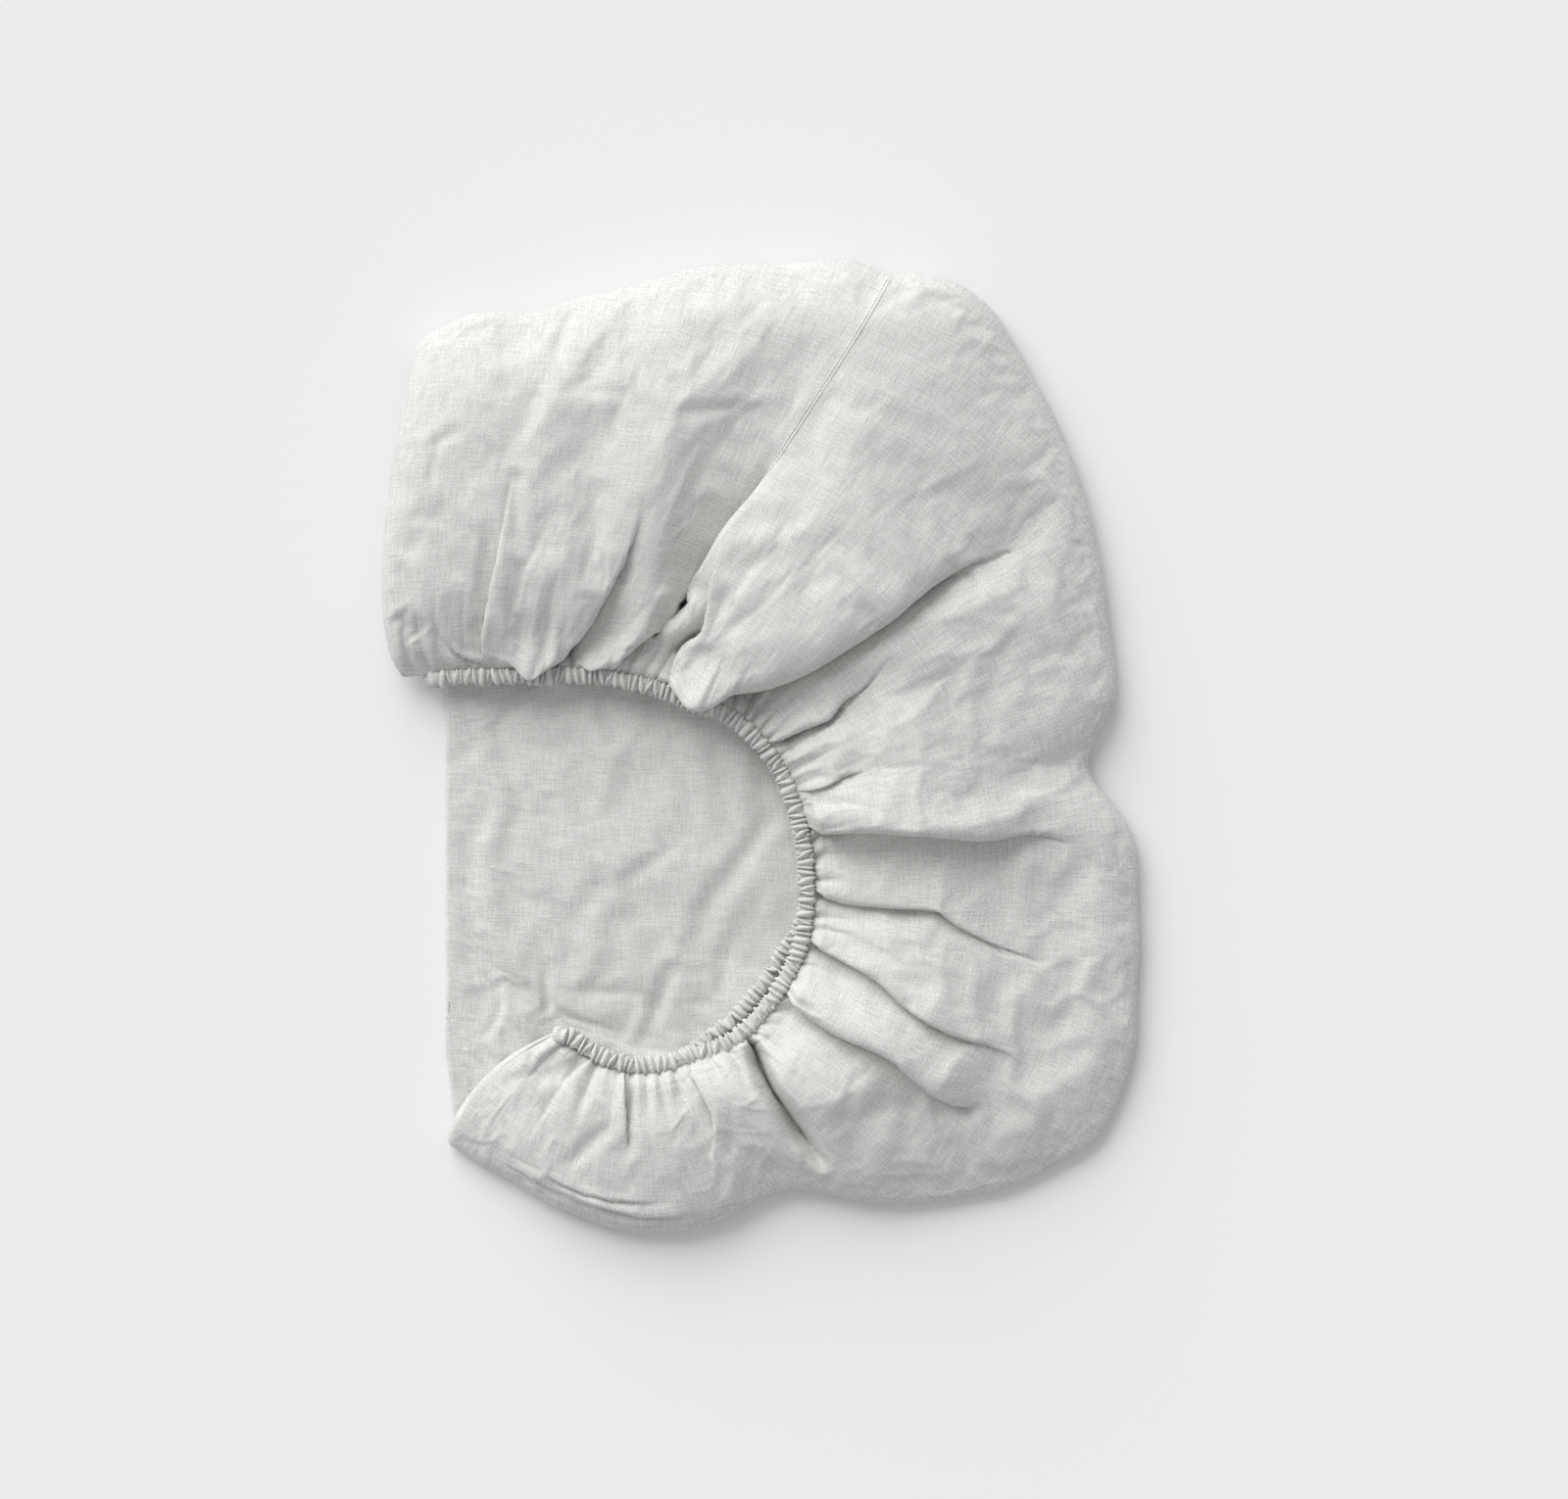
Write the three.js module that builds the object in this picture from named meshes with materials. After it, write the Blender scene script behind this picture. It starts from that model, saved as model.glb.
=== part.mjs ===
// A linen fitted sheet, folded in half with its corner pockets nested, lying on its panel, mouth up.
// It is one cloth. The outer half runs from the elastic rim over the puffed wall, round the outer edge and
// along the floor to the straight fold at the left. There it turns back as the inner half: the panel seen in
// the mouth, then a slack inner wall that ends in its own rim under the first one.
// Millimetres, +Z up, X to the right and Y to the top as the sheet is seen from above.
import * as THREE from "three";

// Driving dimensions
const CLOTH_THICKNESS = 2;
const FOLD_X = -191; // the straight fold of the panel, at the left
const FOLD_TOP = 120;
const FOLD_BOTTOM = -185;
const CASING_WIDTH = 10; // the hem that holds the elastic
const CASING_THICKNESS = 6;
const PUCKER = 0.8; // how far the casing's ribs stand in and out
const FLOOR_LAYER = CLOTH_THICKNESS / 2; // mid-height of each layer of cloth
const PANEL_LAYER = 6;
const PANEL_PUFF = 5; // the panel's soft crown in the middle of the mouth
const PANEL_PUFF_CENTRE = { x: -90, y: -70, reachX: 95, reachY: 90 };
const INNER_WALL_LAYER = 12;
const INNER_RIM_HEIGHT = 13.5;
const INNER_INSET = 9; // the inner half's edge lies this far inside the outer one
const INNER_TUCK = 5;
const INNER_RIM_PEEK = { from: 17, to: 23.5, step: 9 }; // where the inner rim shows beside the outer one
const BOW_START = 0.8; // the upper left end bows most near the rim, the lower left one halfway
const BOW_END = 1.1;
const CROWN_AT = 0.42; // share of the wall's width from rim to crown
const EDGE_TUCK = 14; // how far the outer edge rolls under
const TIP_THINNING = { share: 0.5, reach: 36 }; // cloth pressed thin where the folded edge turns under
const GATHER = { height: 1.6, rise: 12, reach: 48 }; // ripples drawn in by the elastic, one to a section

// Sections round the mouth, from the upper left end of the rim clockwise to the lower left end.
// Each gives a point of the rim, the point of the outline that it faces, the crown's height between them and
// the sideways bow of the line that joins them.
const SECTION_COLUMNS = ["rimX", "rimY", "rimZ", "edgeX", "edgeY", "edgeZ", "crown", "bow"];
const SECTIONS = [
  [-194, 37, 26, -207, 250, 13, 40, 32],
  [-179, 38, 28, -182, 262, 14, 46, 22],
  [-160, 38, 30, -140, 267, 15, 50, 12],
  [-139, 38, 30, -92, 279, 15, 52, 4],
  [-118, 39, 30, -41, 291, 15, 54, 0],
  [-97, 38, 30, 13, 297, 16, 55, 0],
  [-75, 34, 31, 57, 296, 16, 56, 0],
  [-59, 30, 31, 83, 291, 17, 58, 0],
  [-42, 22, 32, 127, 281, 18, 62, 0],
  [-27, 18, 32, 157, 246, 18, 65, 0],
  [-14, 10, 32, 183, 198, 18, 65, 0],
  [-3, 0, 32, 201, 150, 18, 63, 0],
  [8, -15, 32, 212, 98, 18, 60, 0],
  [15, -30, 32, 218, 36, 17, 58, 0],
  [20, -45, 32, 202, -12, 16, 56, 0],
  [23, -62, 32, 228, -48, 16, 55, 0],
  [25, -80, 32, 232, -82, 16, 54, 0],
  [24, -98, 32, 232, -124, 16, 55, 0],
  [22, -116, 31, 232, -172, 16, 56, 0],
  [15, -134, 30, 219, -219, 16, 56, 0],
  [4, -151, 29, 187, -252, 16, 55, 0],
  [-10, -168, 28, 136, -273, 16, 52, 0],
  [-26, -178, 27, 70, -279, 15, 48, 0],
  [-42, -183, 26, 14, -270, 14, 44, 0],
  [-59, -188, 26, -26, -291, 14, 42, 0],
  [-75, -189, 26, -74, -297, 13, 40, 0],
  [-91, -185, 25, -119, -283, 12, 37, 0],
  [-104, -178, 24, -158, -262, 11, 33, -3],
  [-112, -172, 24, -183, -247, 11, 29, -8],
  [-117, -171, 24, -191, -240, 10, 26, -12],
];

// Main folds of the wall: valleys that start at the rim and run out along a bowed line.
// The bank on the left of that line, or the right one where lean is negative, hangs over it by lean.
const FOLD_COLUMNS = [
  "startX", "startY", "bendX", "bendY", "endX", "endY", "depth", "widthStart", "widthEnd", "lean",
];
const FOLDS = {
  arm_pleat: [-166, 42, -159, 98, -153, 158, 6, 9, 16, -4],
  seam_valley: [-71, 44, -35, 116, 79, 286, 21, 12, 34, -6],
  great_valley: [-23, 24, 79, 82, 193, 134, 22, 10, 26, 7],
  shoulder_fold: [10, -2, 55, 16, 85, 50, 8, 8, 14, 3],
  short_gather: [16, -28, 46, -30, 64, -16, 6, 7, 10, 2],
  side_fold: [32, -57, 94, -45, 217, -63, 14, 9, 24, 6],
  side_pleat: [31, -86, 112, -93, 166, -128, 11, 8, 16, 4],
  lower_trough: [29, -120, 91, -152, 157, -189, 10, 8, 18, 0],
  lower_fold: [16, -148, 70, -184, 130, -214, 14, 9, 24, 6],
  corner_slit: [-7, -183, 7, -214, 45, -256, 18, 7, 10, -3],
  hem_trough: [-34, -196, -27, -230, -37, -260, 7, 9, 12, 0],
  hem_pleat: [-80, -195, -80, -220, -76, -249, 7, 7, 8, 0],
  end_trough: [-102, -190, -122, -207, -158, -219, 6, 9, 14, 0],
};

// Rows of points across each half, from its rim to the panel's fold.
const CASING_ROWS = [0, 0.2, 0.8, 1.05, 1.7, 2.8]; // distance from the rim, in casing widths
const CASING_SWELL = [0.5, 1, 1, 0.12, 0, 0]; // how full the casing is at each of them
const WALL_ROWS = 5;
const CREST_AT = 0.72; // share of the wall's width where the rows draw together towards the edge
const CREST_ROWS = 3;
const UNDER_ROWS = 3;
const PANEL_ROWS = [0.4, 0.82];
const PANEL_ROLL_ROWS = [0.9, 0.4, 0]; // shares of the fold's own roll, before the fold
const END_COLUMNS = [0, 0.06, 0.18, 0.36, 0.6, 0.85]; // closer where the halves roll into each other
const MIDDLE_STEPS = 82;
const FOLD_SAMPLES = 14;

const named = (columns, row) => Object.fromEntries(columns.map((key, i) => [key, row[i]]));
const sections = SECTIONS.map((row) => named(SECTION_COLUMNS, row));
const lastSection = sections.length - 1;
const mix = (a, b, share) => a + (b - a) * share;
const clamp01 = (x) => Math.min(1, Math.max(0, x));
const smooth = (x) => clamp01(x) ** 2 * (3 - 2 * clamp01(x));
const bell = (x) => Math.exp(-x * x);
const quarterRound = (x) => Math.sqrt(1 - (1 - clamp01(x)) ** 2);

// A value of the section table at any place between sections, on a smooth curve through the rows.
function between(key, place) {
  const i = Math.min(lastSection - 1, Math.floor(place));
  const at = (k) => sections[Math.min(lastSection, Math.max(0, k))][key];
  const [a, b, c, d] = [at(i - 1), at(i), at(i + 1), at(i + 2)];
  const t = place - i;
  return b + 0.5 * t * (c - a + t * (2 * a - 5 * b + 4 * c - d + t * (3 * (b - c) + d - a)));
}

function sectionAt(place) {
  return Object.fromEntries(SECTION_COLUMNS.map((key) => [key, between(key, place)]));
}

// Each fold's line as short straight steps, worked out once.
const folds = Object.values(FOLDS).map((row) => {
  const fold = named(FOLD_COLUMNS, row);
  const curve = new THREE.QuadraticBezierCurve(
    new THREE.Vector2(fold.startX, fold.startY),
    new THREE.Vector2(fold.bendX, fold.bendY),
    new THREE.Vector2(fold.endX, fold.endY),
  );
  return { ...fold, line: curve.getPoints(FOLD_SAMPLES) };
});

// The nearest place on a fold's line: the share along it, and the distance across, positive on the left.
function acrossFold(line, x, y) {
  let best = { gap: Infinity, along: 0, across: 0, left: null };
  for (let i = 0; i + 1 < line.length; i++) {
    const a = line[i];
    const step = new THREE.Vector2().subVectors(line[i + 1], a);
    const off = new THREE.Vector2(x, y).sub(a);
    const t = clamp01(off.dot(step) / step.lengthSq());
    const gap = off.clone().addScaledVector(step, -t).length();
    if (gap < best.gap) {
      const left = new THREE.Vector2(-step.y, step.x).normalize();
      best = { gap, along: (i + t) / (line.length - 1), across: Math.sign(off.dot(left)) * gap, left };
    }
  }
  return best;
}

// The wall's folds press a point down into their valleys and push the leaning banks over them.
function foldedWall(point, strength) {
  const moved = point.clone();
  for (const fold of folds) {
    const { along, across, left } = acrossFold(fold.line, point.x, point.y);
    const width = mix(fold.widthStart, fold.widthEnd, along);
    const fade = smooth(along / 0.15) * (1 - smooth((along - 0.7) / 0.3)) * strength;
    const leanSide = fold.lean < 0 ? -1 : 1;
    const steep = fold.lean !== 0 && across * leanSide > 0 ? 0.7 : 1.25;
    moved.z -= fold.depth * fade * bell(across / (width * steep));
    const crest = bell((across * leanSide - 0.9 * width) / (0.7 * width));
    moved.addScaledVector(new THREE.Vector3(left.x, left.y, 0), -fold.lean * fade * crest);
  }
  return moved;
}

// The rim's own direction towards the middle of the mouth, in plan.
function towardsMouth(place) {
  const step = 0.2;
  const a = sectionAt(Math.max(0, place - step));
  const b = sectionAt(Math.min(lastSection, place + step));
  return new THREE.Vector2(b.rimY - a.rimY, -(b.rimX - a.rimX)).normalize();
}

// A point of the line from rim to edge, in plan.
function wallPlan(s, share) {
  const along = new THREE.Vector2(s.edgeX - s.rimX, s.edgeY - s.rimY);
  const aside = new THREE.Vector2(-along.y, along.x).normalize();
  const power = s.bow > 0 ? BOW_START : BOW_END;
  const peak = power ** power / (1 + power) ** (1 + power);
  const bow = (s.bow * share ** power * (1 - share)) / peak;
  return new THREE.Vector2(s.rimX, s.rimY).addScaledVector(along, share).addScaledVector(aside, bow);
}

const foldPlace = (place) => new THREE.Vector2(FOLD_X, mix(FOLD_TOP, FOLD_BOTTOM, place / lastSection));
const wallLength = (s) => Math.hypot(s.edgeX - s.rimX, s.edgeY - s.rimY);

// The rows of one column: how far out on the wall, how far under the edge and how far over the panel.
function rowsAt(place) {
  const length = wallLength(sectionAt(place));
  const rows = CASING_ROWS.map((widths, i) => ({
    wall: (widths * CASING_WIDTH) / length,
    swell: CASING_SWELL[i],
  }));
  const first = rows[rows.length - 1].wall;
  for (let i = 1; i <= WALL_ROWS; i++) rows.push({ wall: mix(first, CREST_AT, i / WALL_ROWS) });
  for (let i = 1; i <= CREST_ROWS; i++) {
    rows.push({ wall: mix(CREST_AT, 1, Math.sin((i / CREST_ROWS) * (Math.PI / 2))) });
  }
  for (let i = 1; i <= UNDER_ROWS; i++) rows.push({ wall: 1, under: i / UNDER_ROWS });
  for (const share of PANEL_ROWS) rows.push({ wall: 1, under: 1, panel: share });
  for (const share of PANEL_ROLL_ROWS) rows.push({ wall: 1, under: 1, roll: share });
  return rows;
}

const foldRoll = (PANEL_LAYER - FLOOR_LAYER) / 2;

// Where a row lies in plan. The inner half, settled 1, keeps inside the outer one, settled 0.
// They meet halfway at their ends.
function planOf(place, row, settled = 0.5) {
  const s = sectionAt(place);
  const out = wallPlan(s, 1).sub(wallPlan(s, 0.98)).normalize();
  const tuck = mix(EDGE_TUCK, INNER_TUCK, settled) * (1 - Math.cos(((row.under ?? 0) * Math.PI) / 2));
  const inset = INNER_INSET * settled * smooth((row.wall - 0.75) / 0.25);
  const point = wallPlan(s, row.wall).addScaledVector(out, -tuck - inset);
  const end = foldPlace(place);
  if (row.panel !== undefined) return point.lerp(end, row.panel);
  if (row.roll !== undefined) {
    const back = point.sub(end).normalize();
    return end.addScaledVector(back, (row.roll * foldRoll) / Math.max(0.4, Math.abs(back.x)));
  }
  return point;
}

// The folds where the halves meet, in plan: the walls' two ends, and on the floor one line from tip to tip.
const ends = [0, lastSection];
const endWalls = ends.map((place) => {
  const s = sectionAt(place);
  return Array.from({ length: FOLD_SAMPLES + 1 }, (_, i) => wallPlan(s, i / FOLD_SAMPLES));
});
const tips = ends.map((place) => planOf(place, { wall: 1, under: 1 }));
const floorFold = [tips[0], foldPlace(0), foldPlace(lastSection), tips[1]];

// How far a row of a column lies from the folds where the halves meet.
function gapToFolds(place, row) {
  const plan = planOf(place, row);
  if (row.panel !== undefined || row.roll !== undefined) return acrossFold(floorFold, plan.x, plan.y).gap;
  if (row.under !== undefined) return Math.min(...ends.map((end) => planOf(end, row).distanceTo(plan)));
  return Math.min(...endWalls.map((line) => acrossFold(line, plan.x, plan.y).gap));
}

// Heights of the outer half: rim, dome, outer edge, floor.
function outerHeight(place, row) {
  const s = sectionAt(place);
  if (row.under !== undefined) return mix(s.edgeZ, FLOOR_LAYER, Math.sin((row.under * Math.PI) / 2));
  if (row.wall < CROWN_AT) return mix(s.rimZ, s.crown, Math.sin((row.wall / CROWN_AT) * (Math.PI / 2)));
  const fall = (row.wall - CROWN_AT) / (1 - CROWN_AT);
  return mix(s.edgeZ, s.crown, Math.sqrt(Math.max(0, 1 - fall ** 2.4)));
}

// Heights of the inner half: rim, slack wall, inner edge, panel.
function innerHeight(place, row, plan) {
  const { x, y, reachX, reachY } = PANEL_PUFF_CENTRE;
  const panel = PANEL_LAYER + PANEL_PUFF * bell((plan.x - x) / reachX) * bell((plan.y - y) / reachY);
  const edge = (INNER_WALL_LAYER + PANEL_LAYER) / 2;
  if (row.under !== undefined) return mix(edge, panel, Math.sin((row.under * Math.PI) / 2));
  const wall = mix(INNER_RIM_HEIGHT, INNER_WALL_LAYER, smooth(row.wall / 0.3));
  const toEdge = (1 - row.wall) * wallLength(sectionAt(place));
  return mix(edge, wall, quarterRound(toEdge / INNER_TUCK));
}

// A point of the middle of the cloth, on the outer or the inner half. The halves meet in rounded folds at
// both ends of the rim and along the panel's fold.
function clothPoint(place, row, inner) {
  const gap = gapToFolds(place, row);
  const apart = 0.5 * quarterRound(gap / (INNER_INSET / 2));
  const plan = planOf(place, row, inner ? 0.5 + apart : 0.5 - apart);
  const high = outerHeight(place, row);
  const low = innerHeight(place, row, plan);
  const opened = quarterRound(gap / Math.max(foldRoll, 0.4 * Math.abs(high - low)));
  const point = new THREE.Vector3(plan.x, plan.y, mix((high + low) / 2, inner ? low : high, opened));
  if (inner) {
    const peek = smooth((place - INNER_RIM_PEEK.from) / 2) * smooth((INNER_RIM_PEEK.to - place) / 2);
    const side = towardsMouth(place);
    const step = INNER_RIM_PEEK.step * peek * (1 - smooth(row.wall / 0.3));
    return point.add(new THREE.Vector3(side.x * step, side.y * step, 0));
  }
  if (row.under !== undefined) return point;
  const fromRim = row.wall * wallLength(sectionAt(place)) - CASING_WIDTH;
  const ripple = smooth(fromRim / GATHER.rise) * bell(fromRim / GATHER.reach) * opened;
  point.z += GATHER.height * ripple * Math.sin(2 * Math.PI * place);
  const reach = smooth((row.wall - 0.04) / 0.1) * (1 - 0.85 * smooth((row.wall - 0.75) / 0.25));
  return foldedWall(point, reach * opened);
}

// Columns of points round the mouth, an even number of steps.
function columnPlaces() {
  const places = [...END_COLUMNS, ...END_COLUMNS.map((x) => lastSection - x)];
  const first = END_COLUMNS[END_COLUMNS.length - 1];
  for (let i = 1; i < MIDDLE_STEPS; i++) places.push(mix(first, lastSection - first, i / MIDDLE_STEPS));
  return places.sort((a, b) => a - b);
}

// The share of the cloth's thickness left near the tips of both ends and near the ends of the panel's fold.
function thinning(place, row) {
  const plan = planOf(place, row);
  const gap = Math.min(...ends.flatMap((end) => [
    wallPlan(sectionAt(end), 1).distanceTo(plan),
    foldPlace(end).distanceTo(plan),
  ]));
  return mix(TIP_THINNING.share, 1, smooth(gap / TIP_THINNING.reach));
}

// The cloth's middle as one mesh: a grid for each half, sharing the points of both ends and of the panel's
// fold. The folded wall takes every column, and the plain cloth below it every second one.
function clothMiddle() {
  const points = [];
  const swell = [];
  const triangles = [];
  const places = columnPlaces();
  const lastColumn = places.length - 1;
  const lastRow = rowsAt(0).length - 1;
  const turnRow = lastRow - PANEL_ROWS.length - PANEL_ROLL_ROWS.length;
  const add = (place, row, inner, rib) => {
    points.push(clothPoint(place, row, inner));
    const settled = mix(0.35, 1, smooth(gapToFolds(place, row) / CASING_WIDTH));
    swell.push({ full: (row.swell ?? 0) * settled, rib, thin: thinning(place, row) });
    return points.length - 1;
  };
  const outer = places.map((place, c) => {
    const rows = c % 2 ? rowsAt(place).slice(0, turnRow + 1) : rowsAt(place);
    return rows.map((row) => add(place, row, false, c % 2 ? 1 : -1));
  });
  const inner = places.map((place, c) => {
    if (c % 2) return [];
    const sharedColumn = c === 0 || c === lastColumn;
    const rib = c % 4 ? 1 : -1;
    return rowsAt(place).map((row, r) => {
      const shared = sharedColumn || r === lastRow;
      return shared ? outer[c][r] : add(place, row, true, rib);
    });
  });
  const quad = (a, b, c, d) => triangles.push([a, b, c], [a, c, d]);
  for (let c = 0; c < lastColumn; c++) {
    const [near, far] = [outer[c], outer[c + 1]];
    for (let r = 0; r < turnRow; r++) quad(near[r], far[r], far[r + 1], near[r + 1]);
  }
  for (let c = 0; c < lastColumn; c += 2) {
    const [near, half, far] = [outer[c], outer[c + 1], outer[c + 2]];
    triangles.push([near[turnRow], half[turnRow], near[turnRow + 1]]);
    triangles.push([half[turnRow], far[turnRow + 1], near[turnRow + 1]]);
    triangles.push([half[turnRow], far[turnRow], far[turnRow + 1]]);
    for (let r = turnRow + 1; r < lastRow; r++) quad(near[r], far[r], far[r + 1], near[r + 1]);
    const [under, over] = [inner[c], inner[c + 2]];
    for (let r = 0; r < lastRow; r++) quad(under[r], under[r + 1], over[r + 1], over[r]);
  }
  const ownColumns = inner.slice(1, lastColumn).filter((column) => column.length);
  const rim = [...outer.map((column) => column[0]), ...ownColumns.reverse().map((column) => column[0])];
  return { points, swell, triangles, rim };
}

// Gives the cloth its thickness on both sides of its middle, fuller and ribbed at the casing, and closes
// the rim.
function thickened({ points, swell, triangles, rim }) {
  const normals = points.map(() => new THREE.Vector3());
  for (const [a, b, c] of triangles) {
    const ab = new THREE.Vector3().subVectors(points[b], points[a]);
    const ac = new THREE.Vector3().subVectors(points[c], points[a]);
    const face = ab.cross(ac);
    for (const corner of [a, b, c]) normals[corner].add(face);
  }
  const half = swell.map(({ full, rib, thin }) => {
    const casing = CASING_THICKNESS / 2 + PUCKER * rib * full;
    return mix((CLOTH_THICKNESS / 2) * thin, casing, full);
  });
  const count = points.length;
  const position = [];
  for (const side of [1, -1]) {
    points.forEach((point, i) => {
      const out = normals[i].clone().setLength(side * half[i]);
      position.push(...out.add(point).toArray());
    });
  }
  const index = [];
  for (const [a, b, c] of triangles) index.push(a, b, c, a + count, c + count, b + count);
  rim.forEach((a, i) => {
    const b = rim[(i + 1) % rim.length];
    index.push(b, a, a + count, b, a + count, b + count);
  });
  const geometry = new THREE.BufferGeometry();
  geometry.setAttribute("position", new THREE.Float32BufferAttribute(position, 3));
  geometry.setIndex(index);
  geometry.computeVertexNormals();
  return geometry;
}

function fittedSheet() {
  const linen = new THREE.MeshStandardMaterial({ color: 0xcfd0ce, roughness: 0.9, metalness: 0 });
  const sheet = new THREE.Mesh(thickened(clothMiddle()), linen);
  sheet.name = "fitted_sheet";
  return sheet;
}

const part = new THREE.Group();
part.add(fittedSheet());

export default part;
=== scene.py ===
"""Dresses the fitted sheet: washed linen, folded in half, lying on its panel with the mouth up.

Lengths in the tables are millimetres in the part's own frame: X to the right and Y to the top as the
sheet is seen from above, Z up from the surface that it lies on.
"""

import logging
import math
from dataclasses import dataclass, field
from enum import Enum

import bpy
import numpy as np
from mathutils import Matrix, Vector, noise


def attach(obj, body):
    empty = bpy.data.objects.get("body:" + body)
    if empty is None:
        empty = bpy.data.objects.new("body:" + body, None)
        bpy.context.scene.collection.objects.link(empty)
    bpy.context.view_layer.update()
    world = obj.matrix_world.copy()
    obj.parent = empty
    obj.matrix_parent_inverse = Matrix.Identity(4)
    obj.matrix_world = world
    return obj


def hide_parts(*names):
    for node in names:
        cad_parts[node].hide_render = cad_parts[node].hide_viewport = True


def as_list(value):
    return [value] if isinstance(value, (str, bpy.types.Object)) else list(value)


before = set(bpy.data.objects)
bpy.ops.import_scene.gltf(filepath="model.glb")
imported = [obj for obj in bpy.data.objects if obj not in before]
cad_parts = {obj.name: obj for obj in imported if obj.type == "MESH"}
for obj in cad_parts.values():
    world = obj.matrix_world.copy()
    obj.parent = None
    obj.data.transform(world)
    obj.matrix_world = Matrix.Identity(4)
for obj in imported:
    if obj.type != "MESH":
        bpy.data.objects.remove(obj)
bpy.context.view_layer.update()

log = logging.getLogger("fitted_sheet")

MM = 0.001
NODE = "fitted_sheet"

Array = np.ndarray
Line = tuple[tuple[float, float], ...]


def mix(a: Array | float, b: Array | float, share: Array | float) -> Array | float:
    """Returns the value at a share of the way from a to b."""
    return a + (b - a) * share


def smooth(x: Array | float) -> Array:
    """Returns an eased step from 0 to 1 while x goes from 0 to 1."""
    x = np.clip(x, 0, 1)
    return x * x * (3 - 2 * x)


def bell(x: Array | float) -> Array:
    """Returns a soft bump, 1 at x = 0."""
    return np.exp(-np.square(x))


def quarter_round(x: Array | float) -> Array:
    """Returns the height of a quarter circle while x goes from 0 to 1."""
    return np.sqrt(1 - np.square(1 - np.clip(x, 0, 1)))


def unit(vectors: Array) -> Array:
    """Returns the vectors at length 1."""
    return vectors / np.maximum(np.linalg.norm(vectors, axis=-1, keepdims=True), 1e-9)


def through(points: Array, at: Array) -> Array:
    """Follows a smooth curve through rows of numbers.

    Args:
        points: One row for each whole number.
        at: Where to read the curve, from 0 to the last row.

    Returns:
        One row of values for each entry of at.
    """
    last = len(points) - 1
    i = np.clip(np.floor(at).astype(int), 0, max(last - 1, 0))
    a, b, c, d = (points[np.clip(i + k, 0, last)] for k in (-1, 0, 1, 2))
    t = (at - i)[:, None]
    return b + 0.5 * t * (c - a + t * (2 * a - 5 * b + 4 * c - d + t * (3 * (b - c) + d - a)))


def smooth_line(line: Line, steps: int = 6) -> Array:
    """Returns a given line as a smooth one with several steps between its points."""
    points = np.array(line, float)
    return through(points, np.linspace(0, len(points) - 1, (len(points) - 1) * steps + 1))


@dataclass
class Nearest:
    """Where points lie beside a line: share along it, distance, distance to its left, and its left."""

    along: Array
    gap: Array
    across: Array
    left: Array


def beside(line: Array, points: Array) -> Nearest:
    """Finds the nearest place on a line of short steps for each point.

    Args:
        line: The line's points in plan.
        points: The points to place, in plan.

    Returns:
        Where each point lies beside the line.
    """
    count = len(points)
    found = Nearest(np.zeros(count), np.full(count, np.inf), np.zeros(count), np.zeros((count, 2)))
    for i, (a, b) in enumerate(zip(line[:-1], line[1:])):
        step = b - a
        off = points - a
        t = np.clip(off @ step / (step @ step), 0, 1)
        gap = np.linalg.norm(off - t[:, None] * step, axis=1)
        left = np.array([-step[1], step[0]]) / np.linalg.norm(step)
        closer = gap < found.gap
        found.gap[closer] = gap[closer]
        found.along[closer] = (i + t[closer]) / (len(line) - 1)
        found.across[closer] = (np.sign(off @ left) * gap)[closer]
        found.left[closer] = left
    return found


def crumple(points: Array, size: float, seed: float) -> Array:
    """Returns smooth noise, about -1 to 1, with bumps of the given size over points in plan."""
    return np.array([noise.noise(Vector((x / size, y / size, seed))) for x, y in points[:, :2]])


@dataclass(frozen=True)
class Bumps:
    """Smooth uneven relief of one height and size."""

    height: float
    size: float
    seed: float

    def over(self, points: Array) -> Array:
        """Returns the relief at points in plan."""
        return self.height * crumple(points, self.size, self.seed)


@dataclass(frozen=True)
class Section:
    """A line across the wall, from a point of the rim to the point of the outline that it faces."""

    rim_x: float
    rim_y: float
    rim_z: float
    edge_x: float
    edge_y: float
    edge_z: float
    crown: float
    bow: float


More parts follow.
